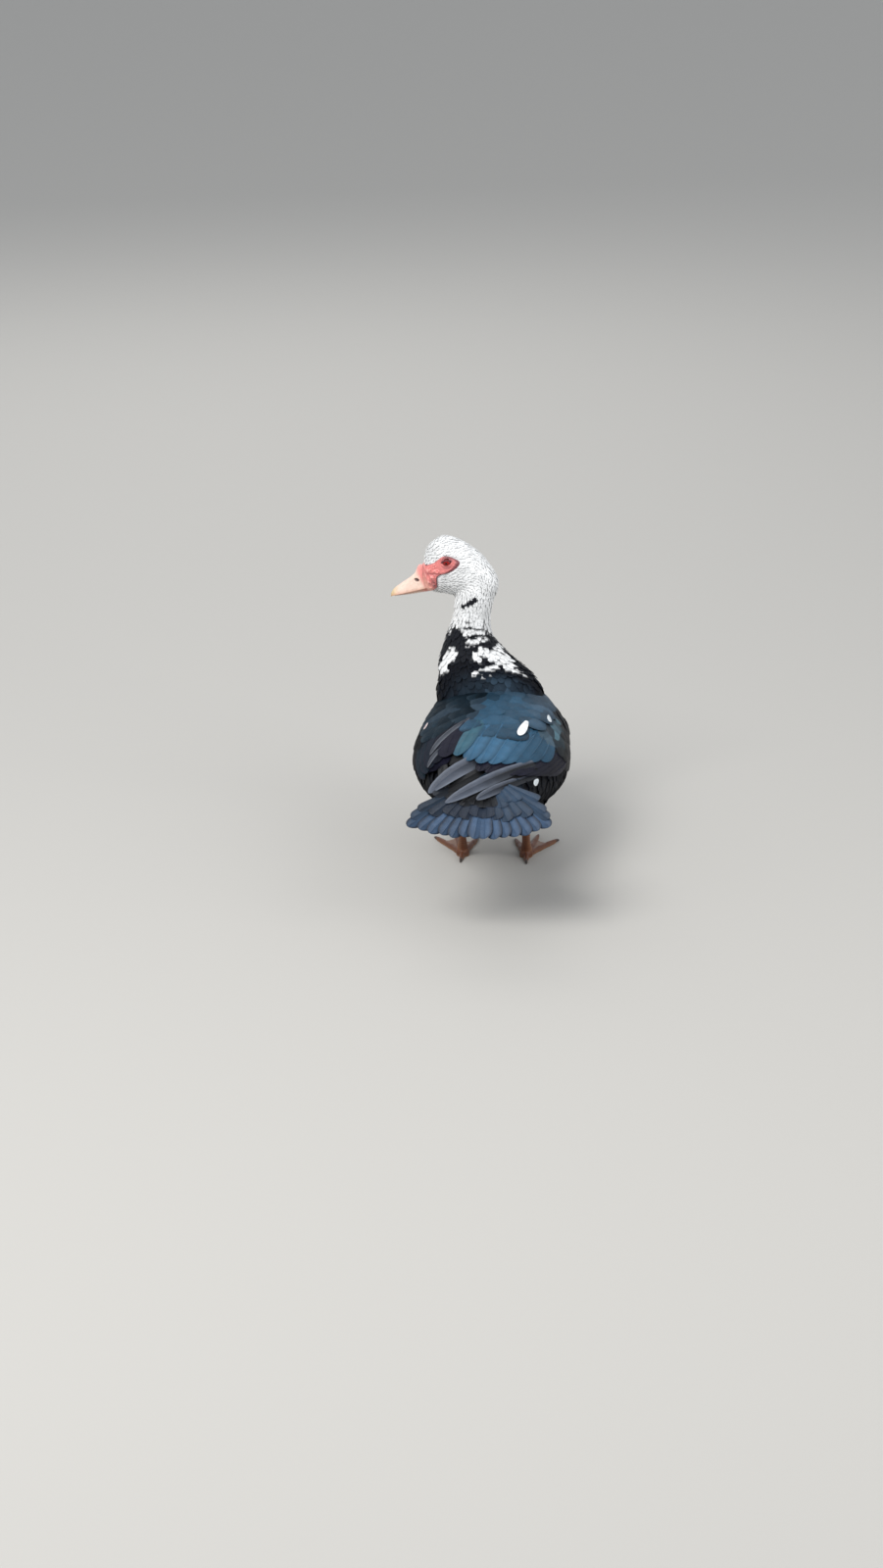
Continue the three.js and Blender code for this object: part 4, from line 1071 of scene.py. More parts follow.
# Scapulars: large rounded feathers in rows over the shoulders, the last the longest, glossy teal on
# her right side and darker on her left, with one white feather on the right.
scapular_rows = [  # root y, tip y at the arc's rear, first and last angle, count, width, tip height
    (104, 78, 10, 50, 5, 18, 4.2),
    (92, 64, 6, 50, 5, 20, 4.4),
    (80, 48, 3, 49, 6, 21, 4.6),
    (64, 30, 0, 47, 6, 23, 4.8),
    (47, 11, -2, 46, 6, 25, 5.1),
    (28, -10, -4, 43, 6, 27, 5.5),
    (10, -31, -8, 40, 5, 30, 6.0),
    (-8, -53, -8, 34, 4, 33, 6.5),
    (-22, -68, -13, 24, 4, 34, 6.9),
]
left_rows = 7
arc_middle = {-1: 34.0, 1: 8.0}
arc_rise = {-1: 0.02, 1: 0.045}
scapular_sweep = {-1: 16.0, 1: -4.0}  # degrees that a tip lies further out than its root
scapular_thickness = 0.6
dullest = {-1: 0.35, 1: 0.89}
front_shade = {-1: 1.0, 1: 0.1}
white_scapular = (-10, 26, -52, 23.5, 9.5)  # root y and angle, tip y and angle, width
slate_scapular = paint("#3a4a58")
slate_margin = paint("#44525c")
for side in (-1, 1):
    name = side_name[side]
    draw = np.random.default_rng(50 + side)
    groups = []
    rows = scapular_rows if side > 0 else scapular_rows[:left_rows]
    for number, (root_y, tip_y, first, last, count, width, high) in enumerate(rows):
        share = number / (len(scapular_rows) - 1)
        start = first if side > 0 else max(first, -2) + 9 * share
        angle = np.linspace(start, last, count) + draw.normal(0, 1.5, count)
        arc = arc_rise[side] * (angle - arc_middle[side]) ** 2 * share
        root = np.stack([root_y + arc, angle], -1) + draw.normal(0, 1.2, (count, 2))
        tip_angle = angle + scapular_sweep[side] * share
        tip = np.stack([tip_y + arc, tip_angle], -1) + draw.normal(0, 2.2, (count, 2))
        lift = np.stack([np.full(count, 2.4), high + draw.normal(0, 0.15, count)], -1)
        width = width * draw.uniform(0.92, 1.1, count)
        made = draped(side, root, tip, lift, width, scapular_thickness, round_outline, tilt=0.02, droop=1.4)
        if side > 0:
            slate = ease(22, 40, angle)[:, None] * (1 - 0.5 * share) + 0.5 * ease(28, 48, tip_y)
            bright = blend(teal_bright, slate_scapular, np.clip(slate, 0, 1))
        else:
            grey = ease(0.45, 0.75, draw.uniform(0, 1, (count, 1)))
            bright = teal_deep * draw.uniform(0.7, 1.5, (count, 1))
            bright = blend(bright, slate_scapular * 0.85, grey)
        base = blend(teal_deep, bright, max(share, dullest[side]) ** 0.5)
        front = ease(-4, 60, tip_y) * front_shade[side]
        base = blend(base, teal_deep * 0.75, front)
        edge_share = 0.15 + 0.45 * ease(0.7, 1.0, share)
        made = tone_feathers(made, base, ink, body_section, draw, 0.2, edge_share, edge_share)
        if side < 0 and number > 2:
            made = one_sided(made, body_section, slate_margin, 0.4, 0.35)
        groups.append(made)
    if side > 0:
        *place, width = white_scapular
        root, tip = [place[:2]], [place[2:]]
        made = draped(side, root, tip, [(5.6, 7.4)], width, scapular_thickness, round_outline)
        groups.append(tone_feathers(made, white_coat, white_coat, body_section, draw, 0.0, 0.6, 0.4))
    made = joined(groups)
    feather_piece(f"scapulars_coat_{name}", made, wing_plumage[side], (f"scapulars_{name}",))

# Primaries: long stiff quills that leave the rear of each wing and cross over the rump, the right
# ones over the left. Those on top are grey with a paler outer edge; painted shade turns the ones
# under the others near black, and darkens each towards its root, short of its outer margin.
primary_paths = {  # root, middle, tip, width, share of the length where the painted shade ends
    -1: [
        ((-52, -92, 141), (-52, -122, 141), (-50, -150, 132), 13, 0.55),
        ((-54, -93, 139.4), (-52, -128, 139), (-48, -158, 131), 13, 0.55),
        ((-56, -94, 137.6), (-51, -134, 137), (-45, -165, 130), 13, 0.55),
    ],
    1: [
        ((5, -90, 152.5), (-38, -128, 151), (-62, -176, 135.5), 24, 0.55),
        ((30, -88, 148), (-16, -136, 150), (-53, -180, 131), 13, 0.55),
        ((47, -90, 142), (8, -155, 152), (-44.5, -195, 132), 16, 0.72),
        ((50, -94, 137), (10, -158, 145), (-27, -189, 130.5), 10, 0.55),
        ((50, -101, 131), (12.5, -164, 142.5), (-11, -191, 135), 12, 0.8),
    ],
}
primary_slope = 0.75
rump_roundness = 150
primary_grey = paint("#434955")
primary_edge = paint("#6d7480")
primaries_painted_shaded = {-1: (0, 1, 2), 1: (1, 3)}  # the ones painted near black as the others' shade
stiff_quill = feather_material("stiff_quill_plumage", 0.5, 0.3, 0.0, 0.45)


def rump_height(x, y):
    return round_ended(trunk_rows, y)[..., 0] - (x - trunk_shift) ** 2 / rump_roundness


def free_vanes(centre, across, outline, width, bed, root, patch):
    """Measures of large feathers that stand clear of the skin, for feather_piece."""
    outward = unit(np.cross(unit(np.gradient(centre, axis=1)), across))
    return {
        "centre": centre,
        "across": across,
        "outward": outward * np.sign(outward[..., 2:3]),
        "outline": np.array([o[1] for o in outline]),
        "shares": np.array([o[0] for o in outline]),
        "along": length_along(centre),
        "bed": bed,
        "width": width,
        "thickness": np.full(len(centre), quill_thickness),
        "root": root,
        "patch": np.array([patch, patch]),
    }


for side in (-1, 1):
    name = side_name[side]
    draw = np.random.default_rng(60 + side)
    u = np.array([o[0] for o in quill_outline])[None, :, None]
    paths = primary_paths[side]
    count = len(paths)
    root, middle, tip = (np.array([path[i] for path in paths], float)[:, None] for i in range(3))
    centre = (1 - u) ** 2 * root + 2 * u * (1 - u) * middle + u**2 * tip
    way = unit(np.gradient(centre, axis=1))
    aside = unit(np.stack([way[..., 1], -way[..., 0], 0 * way[..., 0]], -1))
    x, y = centre[..., 0], centre[..., 1]
    tilt = rump_height(x + aside[..., 0], y) - rump_height(x, y) + primary_slope * aside[..., 1]
    across = unit(aside + np.array([0, 0, 1.0]) * tilt[..., None])
    width = np.array([float(path[3]) for path in paths])
    on_map = np.stack([0.1 + 0.1 * np.arange(count), np.full(count, 0.5)], -1)
    made = free_vanes(centre, across, quill_outline, width, 300.0, on_map, 0.08)
    # Painted shade: the quills lying under the others are near black
    dark = np.array([number in primaries_painted_shaded[side] for number in range(count)], float)[:, None]
    base = blend(primary_grey, ink, dark)
    edge = blend(primary_edge, ink * 2, dark)
    made = tone_feathers(made, base, edge, quill_section, draw, 0.05, 0.75, 0.3)
    # Painted shade: each quill darkens towards its root, where the others cover it, but not on its outer
    # margin
    painted_shade_end = np.array([path[4] for path in paths])[:, None]
    primary_painted_shade = np.clip((painted_shade_end - made["shares"]) / 0.35, 0, 1)[..., None]
    primary_painted_shade = primary_painted_shade * ease(0.55, 0.2, np.array(quill_section)[:, 0])
    made["colour"] = blend(made["colour"], ink, (0.85 * primary_painted_shade)[..., None])
    feather_piece(f"primaries_coat_{name}", made, stiff_quill, (f"primaries_{name}",))

# Tail: a fan of broad slate-blue quills, the middle one on top, with dark edges, and rows of
# coverts over and under their roots.
fan_pivot = np.array([-3.5, -118.0, 141.0])
fan_yaw = math.radians(-0.5)
fan_droop = math.radians(11)
fan_half_angle = math.radians(30)
fan_start = 31.0
outer_lift = {-1: 0.0013, 1: 0.0017}  # how the fan's outer quills rise, per mm squared
fan_outline = [(0, 0.2), (0.2, 0.42), (0.4, 0.64), (0.6, 0.84), (0.75, 0.96), (0.85, 1.0), (0.91, 0.93)]
fan_outline += [(0.95, 0.77), (0.98, 0.52), (1, 0.2)]
quill_count = 14
quill_width = 17.5
covert_width = 19
side_width = 16
under_width = 18
# Share of the fan's angle, reach on her left and right, tip height
side_coverts = [(1.07, (139, 136), 1.8), (1.12, (122, 122), 3.0), (1.26, (86, 97), 4.0)]
under_coverts = [(13, 108, -1.6, -3.4), (10, 86, -2.4, -5.4)]  # count, reach, root and tip height
tail_slate = paint("#3b526d")
tail_blue = paint("#2c4055")
tail_ink = paint("#121a28")


def fan(share, reach, width, low, high, tilt, draw, row=0.0):
    """Feathers in a fan from the tail's root: share of its angle, reach, width, root and tip height."""
    u = np.array([o[0] for o in fan_outline])[None]
    count = len(share)
    share = np.asarray(share, float)[:, None]
    reach = np.broadcast_to(np.asarray(reach, float), (count,))[:, None]
    angle = fan_half_angle * share + fan_yaw
    r = blend(fan_start, reach, u)
    x, out = r * np.sin(angle), r * np.cos(angle)
    lift = np.where(x < 0, outer_lift[-1], outer_lift[1])
    y = -out * math.cos(fan_droop)
    z = -out * math.sin(fan_droop) + lift * x**2 + low + (high - low) * u
    level = np.stack([np.cos(angle) + 0 * r, np.sin(angle) * math.cos(fan_droop) + 0 * r, 0 * r], -1)
    across = unit(level + np.array([0, 0, 1.0]) * (tilt * np.sign(share) + 2 * lift * x)[..., None])
    width = width * draw.uniform(0.96, 1.04, count)
    on_map = np.stack([0.05 + 0.9 * np.linspace(0, 1, count), np.full(count, 0.5 + row)], -1)
    return free_vanes(fan_pivot + np.stack([x, y, z], -1), across, fan_outline, width, 60.0, on_map, 0.04)


draw = np.random.default_rng(70)
groups = []
share = np.linspace(-1, 1, quill_count)
reach = 142 + 9 * share**2 - 2.5 * share**3 + draw.normal(0, 1.3, quill_count)
made = fan(share, reach, quill_width, 0, 1.6 * (1 - np.abs(share[:, None])), 0.24, draw)
groups.append(tone_feathers(made, tail_slate, tail_ink, quill_section, draw, 0.1, 1.0, 0.3))
share = np.linspace(-0.88, 0.88, 10) + draw.normal(0, 0.02, 10)
made = fan(share, 104 + 12 * share**2 + draw.normal(0, 3, 10), covert_width, 1.0, 2.4, 0.2, draw, 0.06)
dark = 0.8 * ease(0.5, 0.1, share) * ease(-1.3, -0.7, share)
shade = blend(tail_blue, tail_ink, dark[:, None])
groups.append(tone_feathers(made, shade, tail_ink, quill_section, draw, 0.12, 0.8, 0.3))
# Rump feathers over the fan's roots, slate on her right and black on her left, the black partly
# their own colour and partly painted shadow of the primaries that cross over them
share = np.linspace(-0.95, 0.95, 9)
made = fan(share, 78 + draw.normal(0, 3, 9), covert_width, 1.8, 3.2, 0.1, draw, 0.2)
shade = blend(ink, tail_blue * 1.15, ease(0.2, 0.6, share)[:, None])
groups.append(tone_feathers(made, shade, tail_ink, quill_section, draw, 0.1, 0.5, 0.2))
# Side coverts fill the corners between the flank and the fan
for number, (out, reach, high) in enumerate(side_coverts):
    made = fan([0.01 - out, out], reach, side_width, 0.5, high, 0.3, draw, 0.3 + 0.05 * number)
    shade = np.array([blend(tail_blue, ink, 0.45 * number), tail_blue])
    groups.append(tone_feathers(made, shade, tail_ink, quill_section, draw, 0.08, 0.7, 0.3))
# Rows of coverts under the tail
for row, (count, reach, low, high) in enumerate(under_coverts):
    share = np.linspace(-1, 1, count) * 0.8
    reach = reach + draw.normal(0, 2.5, count)
    made = fan(share, reach, under_width, low, high, 0.0, draw, -0.06 * (row + 1))
    groups.append(tone_feathers(made, ink * 1.4, tail_slate, quill_section, draw, 0.1, 0.2, 0.2))
feather_piece("tail_feathers", joined(groups), stiff_quill, ("tail",))

# Bare face: warty red skin round the eye and down to the gape, let into the side of the head. Its
# bulbs are fleshy, tighter and darker towards the rim, with a moist satin finish. Painted shade
# darkens the hollows between the bulbs, a ring round the eye, the corner of the gape and the crease.
bill_rows = [  # y, ridge, edge, half width
    (25, 0, -28, 13.5),
    (35, -4.3, -29, 12.2),
    (43, -9.3, -29.9, 11.3),
    (47, -12.4, -30.4, 10.9),
    (54, -16.5, -31.0, 10.7),
    (62, -20.2, -31.6, 10.7),
    (69, -23.8, -32.2, 10.2),
    (74.5, -27.2, -33.0, 8.4),
    (77.8, -30.8, -34.4, 5.2),
    (79.4, -34.0, -35.8, 2.0),
]
face_middle = np.array([22.0, -8.0])
face_rise = 1.3
face_bulbs = [(29, -1.5, 2), (25, -7, 1.9), (29, -12, 2.2), (21.5, -14.5, 1.9), (27, -19.5, 2.2)]
face_bulbs += [(21, -23, 1.9), (25.5, -27, 1.8), (16, -7.5, 1.6), (16, 1.5, 1.6), (-11, -2.5, 1.5)]
small_bulbs = 60
bulb_height = 0.62
fold_mm = 2.3
crease_at = {"y": 16, "z": -11.5, "slope": 0.12, "half": 1.1}
blotch_scale = 260.0
face_red = paint("#f08b85")
face_rim_and_shade_dark = paint("#5a2834")
face_pale = paint("#fcbcb2")
horn_rose = paint("#efb39f")


def head_angle(y, z):
    """The angle from the crown at which the head's side has height z."""
    rows = round_ended(head_rows, y)
    crown, jaw = rows[..., 0], rows[..., 1]
    level = jaw + head_widest_share * (crown - jaw)
    above = (z - level) / np.maximum(crown - level, 1e-6)
    below = (z - level) / np.maximum(level - jaw, 1e-6)
    return np.arccos(np.clip(np.where(z > level, above, below), -1, 1))


def closed_curve(points, count):
    """A smooth closed curve through points in a plane."""
    n = len(points)
    at = np.linspace(0, n, count, endpoint=False)
    i = at.astype(int)
    t = (at - i)[:, None]
    a, b, c, d = (points[(i + k) % n] for k in (-1, 0, 1, 2))
    return 0.5 * (2 * b + (c - a) * t + (2 * a - 5 * b + 4 * c - d) * t**2 + (3 * b - a - 3 * c + d) * t**3)


def tinted(mesh, colours):
    """Gives a mesh its colour point by point."""
    shade = np.ones((len(mesh.vertices), 4))
    shade[:, :3] = colours
    tone = mesh.color_attributes.new("tint", "FLOAT_COLOR", "POINT")
    tone.data.foreach_set("color", shade.astype(np.float32).ravel())


def tinted_material(name, roughness, gloss, pore_mm, pore_depth, coat=0.0):
    """Skin or horn with its own tint, fine pores of a size in mm and faint blotches."""
    material, tree = start_material(name)
    colour = put(tree, "Attribute", attribute_name="tint")
    place = put(tree, "TexCoord").outputs["Object"]
    pores = put(tree, "TexNoise", {"Vector": place, "Scale": 1000 / pore_mm, "Detail": 3.0})
    blotch = put(tree, "TexNoise", {"Vector": place, "Scale": blotch_scale, "Detail": 2.0})
    span = {"Value": blotch.outputs["Fac"], "From Min": 0.3, "From Max": 0.7, "To Min": 0.88, "To Max": 1.1}
    faint = put(tree, "MapRange", span).outputs["Result"]
    toned = put(tree, "VectorMath", {0: colour.outputs["Color"], "Scale": faint}, operation="SCALE")
    bump = put(tree, "Bump", {"Height": pores.outputs["Fac"], "Strength": pore_depth, "Distance": 0.0004})
    finish = {"Roughness": roughness, "Specular IOR Level": gloss}
    finish.update({"Coat Weight": coat, "Coat Roughness": 0.15, "Normal": bump.outputs["Normal"]})
    surface(tree, {"Base Color": toned.outputs["Vector"], **finish})
    return material


face_skin = tinted_material("bare_red_skin", 0.42, 0.5, 0.9, 0.5, 0.15)
rim_yz = closed_curve(face_outline, 128)
rim = np.stack([rim_yz[:, 0], head_angle(rim_yz[:, 0], rim_yz[:, 1])], -1)
middle = np.array([face_middle[0], float(head_angle(*face_middle))])
for side in (-1, 1):
    draw = np.random.default_rng(80 + side)
    share = np.linspace(0.02, 1, 46)[:, None, None]
    grid = blend(middle, rim[None], share)
    y, angle = grid[..., 0], grid[..., 1]
    flat = head_point(y, angle * side)
    edge = share[..., 0] + 0 * y
    rise = face_rise * (1 - edge**10) - 0.9 * ease(0.94, 1.0, edge)
    bulbs = list(face_bulbs)
    for _ in range(small_bulbs):
        on_rim = rim_yz[draw.integers(len(rim))]
        bulb_y, bulb_z = blend(face_middle, on_rim, draw.uniform(0.15, 0.92))
        bulbs.append((bulb_y, bulb_z, draw.uniform(0.6, 1.0) + 0.5 * ease(4, 20, bulb_y)))
    swell = np.zeros_like(y)
    for bulb_y, bulb_z, radius in bulbs:
        spot = head_point(bulb_y, head_angle(bulb_y, bulb_z) * side)
        far = np.linalg.norm(flat - spot, axis=-1) / radius
        swell = np.maximum(swell, radius * bulb_height * np.sqrt(np.clip(1 - far**2, 0, 1)))
    from_eye = np.hypot(flat[..., 1], flat[..., 2])
    swell = swell * ease(6.0, 8.5, from_eye)
    folds = 0.3 * np.cos((from_eye - 6.5) * 2 * math.pi / fold_mm)
    folds = folds * np.exp(-(((from_eye - 7) / 3.5) ** 2)) * (from_eye > 5)
    level = flat[..., 2]
    off_crease = level - crease_at["z"] - crease_at["slope"] * (y - crease_at["y"])
    crease = np.exp(-((off_crease / crease_at["half"]) ** 2)) * ease(6, 12, y) * (1 - ease(26, 31, y))
    points = head_point(y, angle * side, rise + swell * (1 - crease) + folds - 0.6 * crease)
    to_bill = ease(26.5, 33.5, y) * (edge < 1.01)
    bill_half = curve_through(bill_rows, np.maximum(y, 25))[..., 2] + 0.35 + 0.4 * swell
    points[..., 0] += to_bill * (side * np.minimum(bill_half, np.abs(points[..., 0])) - points[..., 0])
    rings = from_head(points)
    sheet, faces = loft(rings, caps=False)
    inner = len(sheet)
    sheet = np.concatenate([sheet, [rings[0].mean(axis=0)]])
    count = rings.shape[1]
    faces += [(inner, (j + 1) % count, j) for j in range(count)]
    mesh = bpy.data.meshes.new("bare_face")
    mesh.from_pydata(metres(sheet).tolist(), [], faces if side < 0 else [f[::-1] for f in faces])
    mesh.polygons.foreach_set("use_smooth", np.ones(len(mesh.polygons), bool))
    # Darker towards the rim, with painted shade in a ring round the eye, at the gape's corner and along the
    # crease
    eye_ring_shade = 0.75 * np.exp(-(((from_eye - 5.6) / 1.5) ** 2))
    rim_dark_and_painted_shade = np.clip(ease(0.83, 0.94, edge) + eye_ring_shade, 0, 1)
    gape_shade = np.exp(-(((y - 20.5) / 2.6) ** 2)) * ease(-14, -19, level)
    rim_dark_and_painted_shade = np.maximum(rim_dark_and_painted_shade, np.maximum(0.75 * gape_shade, 0.7 * crease))
    to_horn = ease(31, 41, y - 0.6 * (level + 8))[..., None]
    # Painted shade in the hollows between the bulbs
    between_bulbs_shade = 0.5 * np.exp(-((swell / 0.45) ** 2))[..., None]
    shade = blend(face_red, face_pale, ease(0.5, 1.3, swell)[..., None] * 0.8)
    shade = blend(shade, horn_rose, 0.85 * to_horn)
    shade = blend(shade, face_rim_and_shade_dark, 0.3 * between_bulbs_shade)
    shade = blend(shade, face_rim_and_shade_dark, 0.8 * rim_dark_and_painted_shade[..., None] * (1 - 0.8 * to_horn)).reshape(-1, 3)
    tinted(mesh, np.concatenate([shade, shade[:1]]))
    name = side_name[side]
    add_piece(f"bare_face_{name}", mesh, face_skin, (f"face_{name}",))

# Eyes: a clear dark ball, deep in the head so that only its front breaks the skin, with a black
# pupil, a dark red iris and a wet gloss. Two fleshy lids grown from the face close round it, with
# painted shade on them near the opening, reaching further over the upper lid.
eye_middle = 16.5
eye_radius = 6.1
pupil_radius = 1.2
iris_radius = 5.0
opening = {"along": 5.7, "above": 2.9, "below": 2.8}
lid_half_height = 3.3
lid_profile = [(-0.5, -0.5), (-0.45, 0.25), (-0.1, 0.62), (0.45, 0.72), (1.0, 0.45), (1.6, 0.1)]
lid_profile += [(2.3, -0.5), (2.3, -2.2), (0.2, -2.2)]  # out from the opening, height
pupil_black = paint("#120404")
iris_red = paint("#8f1611")
iris_rim = paint("#5a0b0a")
lid_painted_shade = face_rim_and_shade_dark * 0.8
eye_wet = tinted_material("wet_eye", 0.15, 0.25, 6.0, 0.0, 0.2)
lid_skin = tinted_material("lid_skin", 0.45, 0.5, 0.8, 0.4, 0.1)
for side in (-1, 1):
    name = side_name[side]
    angle = np.concatenate([np.linspace(0.02, 1.1, 44), np.linspace(1.2, math.pi - 0.05, 22)])[:, None]
    turns = np.linspace(0, 2 * math.pi, 56, endpoint=False)[None]
    away = eye_radius * np.sin(angle)
    bulge = 1 + 0.035 * (1 - ease(0.35, 0.8, angle))
    x = side * (eye_middle + eye_radius * np.cos(angle) * bulge) + 0 * turns
    rings = np.stack([x, away * np.cos(turns), away * np.sin(turns)], -1)
    mesh = make_mesh("eyeball", [loft(from_head(rings))])
    local = to_head(mesh_points(mesh))
    far = np.hypot(local[:, 1], local[:, 2])
    iris = blend(iris_red, iris_rim, ease(2.4, iris_radius, far)[:, None])
    iris = iris * (1 + 0.18 * np.sin(np.arctan2(local[:, 2], local[:, 1]) * 23 + far)[:, None])
    shade = blend(pupil_black, iris, ease(pupil_radius - 0.1, pupil_radius + 0.15, far)[:, None])
    shade = blend(shade, pupil_black, ease(iris_radius - 0.2, iris_radius + 0.3, far)[:, None])
    tinted(mesh, shade)
    add_piece(f"eyeball_{name}", mesh, eye_wet, (f"eye_{name}",))
    turns = np.linspace(0, 2 * math.pi, 72, endpoint=False)
    tall = np.where(np.sin(turns) > 0, opening["above"], opening["below"])
    reach_y, reach_z = opening["along"] * np.cos(turns), tall * np.sin(turns)
    reach = np.hypot(reach_y, reach_z)
    rings = []
    for out, high in lid_profile:
        scale = (reach + out) / reach
        ly, lz = reach_y * scale, reach_z * scale
        here = np.minimum(reach + out, eye_radius * 0.98)
        on_ball = eye_middle + np.sqrt(eye_radius**2 - here**2)
        upper = 1 + 0.35 * np.clip(np.sin(turns), 0, 1)
        on_face = np.abs(head_point(ly, head_angle(ly, lz))[:, 0]) + face_rise
        base = np.maximum(on_ball, on_face) if out < 1 else on_face
        rings.append(np.stack([side * (base + high * upper), ly, lz], -1))
    rings.append(rings[0])
    mesh = make_mesh("lids", [loft(from_head(np.array(rings)), caps=False)])
    local = to_head(mesh_points(mesh))
    # Painted shade: the lids darken towards the opening, further over the upper lid
    far = np.hypot(local[:, 1] / opening["along"], local[:, 2] / lid_half_height)
    upper = ease(-0.5, 1.5, local[:, 2])
    light = ease(0.75 + 0.3 * upper, 1.0 + 0.6 * upper, far)
    tinted(mesh, blend(lid_painted_shade, face_red, light[:, None]))
    add_piece(f"lids_{name}", mesh, lid_skin, ())

# Bill: a vault of satin horn grown from the skull, rosy at the face and cream to the tip, with open
# nostrils, a small knob over them and a hooked nail. The lower half is a shallow tray under it.
# Painted shade darkens the nostrils, the upper half along its lower edge and the whole lower half.
bill_from = 27.0
bill_to = 79.3
lower_depth = 6.0
lower_start = 26.0
lower_end = 74.0
hinge_y = 22.0
nostril = {"y": 42.5, "z": -18.2, "long": 3.6, "high": 2.0, "deep": 2.4, "slope": 0.22}
nostril_shade = paint("#3d1512")
knob = {"y": 39.5, "radius": 4.2, "high": 4.0, "pale_radius": 4.0, "pale_above": -20}
nail_start = 69.0
bill_rose = paint("#e88c84")
bill_cream = paint("#f0d2c0")
bill_tip = paint("#dcc390")
bill_edge_shade = paint("#b8704f")
horn = tinted_material("bill_horn", 0.38, 0.5, 1.6, 0.18, 0.1)


def from_nostril(y, z):
    """0 in the nostril's middle and 1 at its oval rim."""
    rise = z - nostril["z"] - nostril["slope"] * (y - nostril["y"])
    return ((y - nostril["y"]) / nostril["long"]) ** 2 + (rise / nostril["high"]) ** 2


y = np.concatenate([np.linspace(bill_from, nail_start, 84), np.linspace(nail_start + 0.4, bill_to, 28)])
y = y[:, None]
turns = np.linspace(-math.pi / 2, math.pi / 2, 61)[None]
rows = curve_through(bill_rows, y[:, 0])[:, None]
ridge, edge, half = rows[..., 0], rows[..., 1], rows[..., 2]
x = half * np.sign(np.sin(turns)) * np.abs(np.sin(turns)) ** 0.92
z = blend(edge, ridge, np.abs(np.cos(turns)) ** 1.06)
dent = nostril["deep"] * np.clip(1 - from_nostril(y, z), 0, 1) ** 0.5
lip = 0.35 * np.exp(-(((from_nostril(y, z) - 1.5) / 0.5) ** 2))
x = x - np.sign(x) * (dent - lip)
on_knob = np.exp(-(((y - knob["y"]) / knob["radius"]) ** 2) - (x / knob["radius"]) ** 2)
z = z + knob["high"] * on_knob * (np.cos(turns) > 0.1)
tomium = 0.45 * np.exp(-(((z - edge) / 1.2) ** 2)) * ease(30, 36, y) * (1 - ease(72, 78, y))
x = x + np.sign(x) * tomium
nail = 0.35 * ease(nail_start, nail_start + 1.2, y) * np.cos(turns) * (1 - ease(77.5, 79.2, y))
outside = np.stack([x, y + 0 * x, z + nail], -1)
across = np.linspace(1, -1, 9)[1:-1]
palate = np.stack([across * half, y + 0 * across, edge + 1.0 * (1 - across**2)], -1)
rings = np.concatenate([outside, palate], axis=1)
mesh = make_mesh("bill", [loft(from_head(rings))])
local = to_head(mesh_points(mesh))
place_x, place_y, place_z = local[:, :1], local[:, 1:2], local[:, 2:3]
rows = curve_through(bill_rows, local[:, 1])
shade = blend(bill_rose, bill_cream, ease(38, 46, place_y - 0.45 * (place_z + 8)))
shade = blend(shade, bill_tip, ease(64, 78, place_y))
# Painted shade: brown along the lower edge of the upper bill
shade = blend(shade, bill_edge_shade, 0.55 * np.exp(-(((place_z - rows[:, 1:2]) / 2.2) ** 2)))
# Painted shade in the nostrils
shade = blend(shade, nostril_shade, 1 - ease(0.35, 1.0, from_nostril(place_y, place_z)))
on_knob = np.exp(-(((place_y - knob["y"]) / knob["pale_radius"]) ** 2) - (place_x / knob["pale_radius"]) ** 2)
shade = blend(shade, face_pale, 0.7 * on_knob * (place_z > knob["pale_above"]))
tinted(mesh, shade)
add_piece("bill_upper_horn", mesh, horn, ("bill_upper",))
y = np.linspace(lower_start, lower_end, 60)[:, None]
rows = curve_through(bill_rows, y[:, 0])[:, None]
edge, half = rows[..., 1], rows[..., 2]
t = (y - hinge_y) / (lower_end - hinge_y)
deep = lower_depth * (1 - 0.6 * t)
wide = (half - 0.8) * (1 - 0.45 * t**6)
turns = np.linspace(-math.pi / 2, math.pi / 2, 25)[None]
rings = np.stack([wide * np.sin(turns), y + 0 * turns, edge - 0.3 - deep * np.cos(turns)], -1)
mesh = make_mesh("lower_bill", [loft(from_head(rings))])
local = to_head(mesh_points(mesh))
rows = curve_through(bill_rows, local[:, 1])
# Painted shade: the lower bill in darker copies of the bill's colours, browner at its edge
shade = blend(bill_rose * 0.8, bill_cream * 0.85, ease(32, 44, local[:, 1:2]))
shade = blend(shade, bill_edge_shade, np.exp(-(((local[:, 2:3] - rows[:, 1:2]) / 1.8) ** 2)) * 0.6)
tinted(mesh, shade)
add_piece("bill_lower_horn", mesh, horn, ("bill_lower",))

# Legs: bare shanks with overlapping scutes down the front and small round scales behind, brown and
# leathery, with painted light in tan on each shank's outer side. The feet are one with them, three
# toes joined by webs and a short hind one, with claws.
hock_y = -24.0
hock_top = 50.0
foot_y = -7.0
foot_turn = math.radians(9)
foot_top = 9.0
shank_rows = [  # z, y, half width, half depth
    (foot_top, foot_y, 6.4, 6.6),
    (13, hock_y + 15, 5.6, 6.2),
    (20, hock_y + 11, 4.6, 5.6),
    (32, hock_y + 5, 4.6, 5.8),
    (42, hock_y + 1.5, 6, 7.4),
    (hock_top - 0.3, hock_y, 7, 8.6),
]
toes = {"inner": (-25, 46), "middle": (1, 60), "outer": (25, 55)}  # degrees outward, reach
toe_rows = [(-4, 4.6, 7.5), (8, 4.4, 7), (0.35, 3.4, 5.2), (0.42, 3.8, 5.8), (0.68, 3, 4.8)]
toe_rows += [(0.74, 3.4, 5.2), (1, 2.5, 4.2)]  # reach in mm or as a share, half width, height
hind_rows = [(0, 4, 8), (8, 3.2, 6.5), (1, 2.2, 4)]
hind_angle = 168
hind_reach = 17.0
knuckle_rows = [(0, 7.4), (4, 7.6), (8.7, 6.6)]  # z, radius
claw_start = 0.3
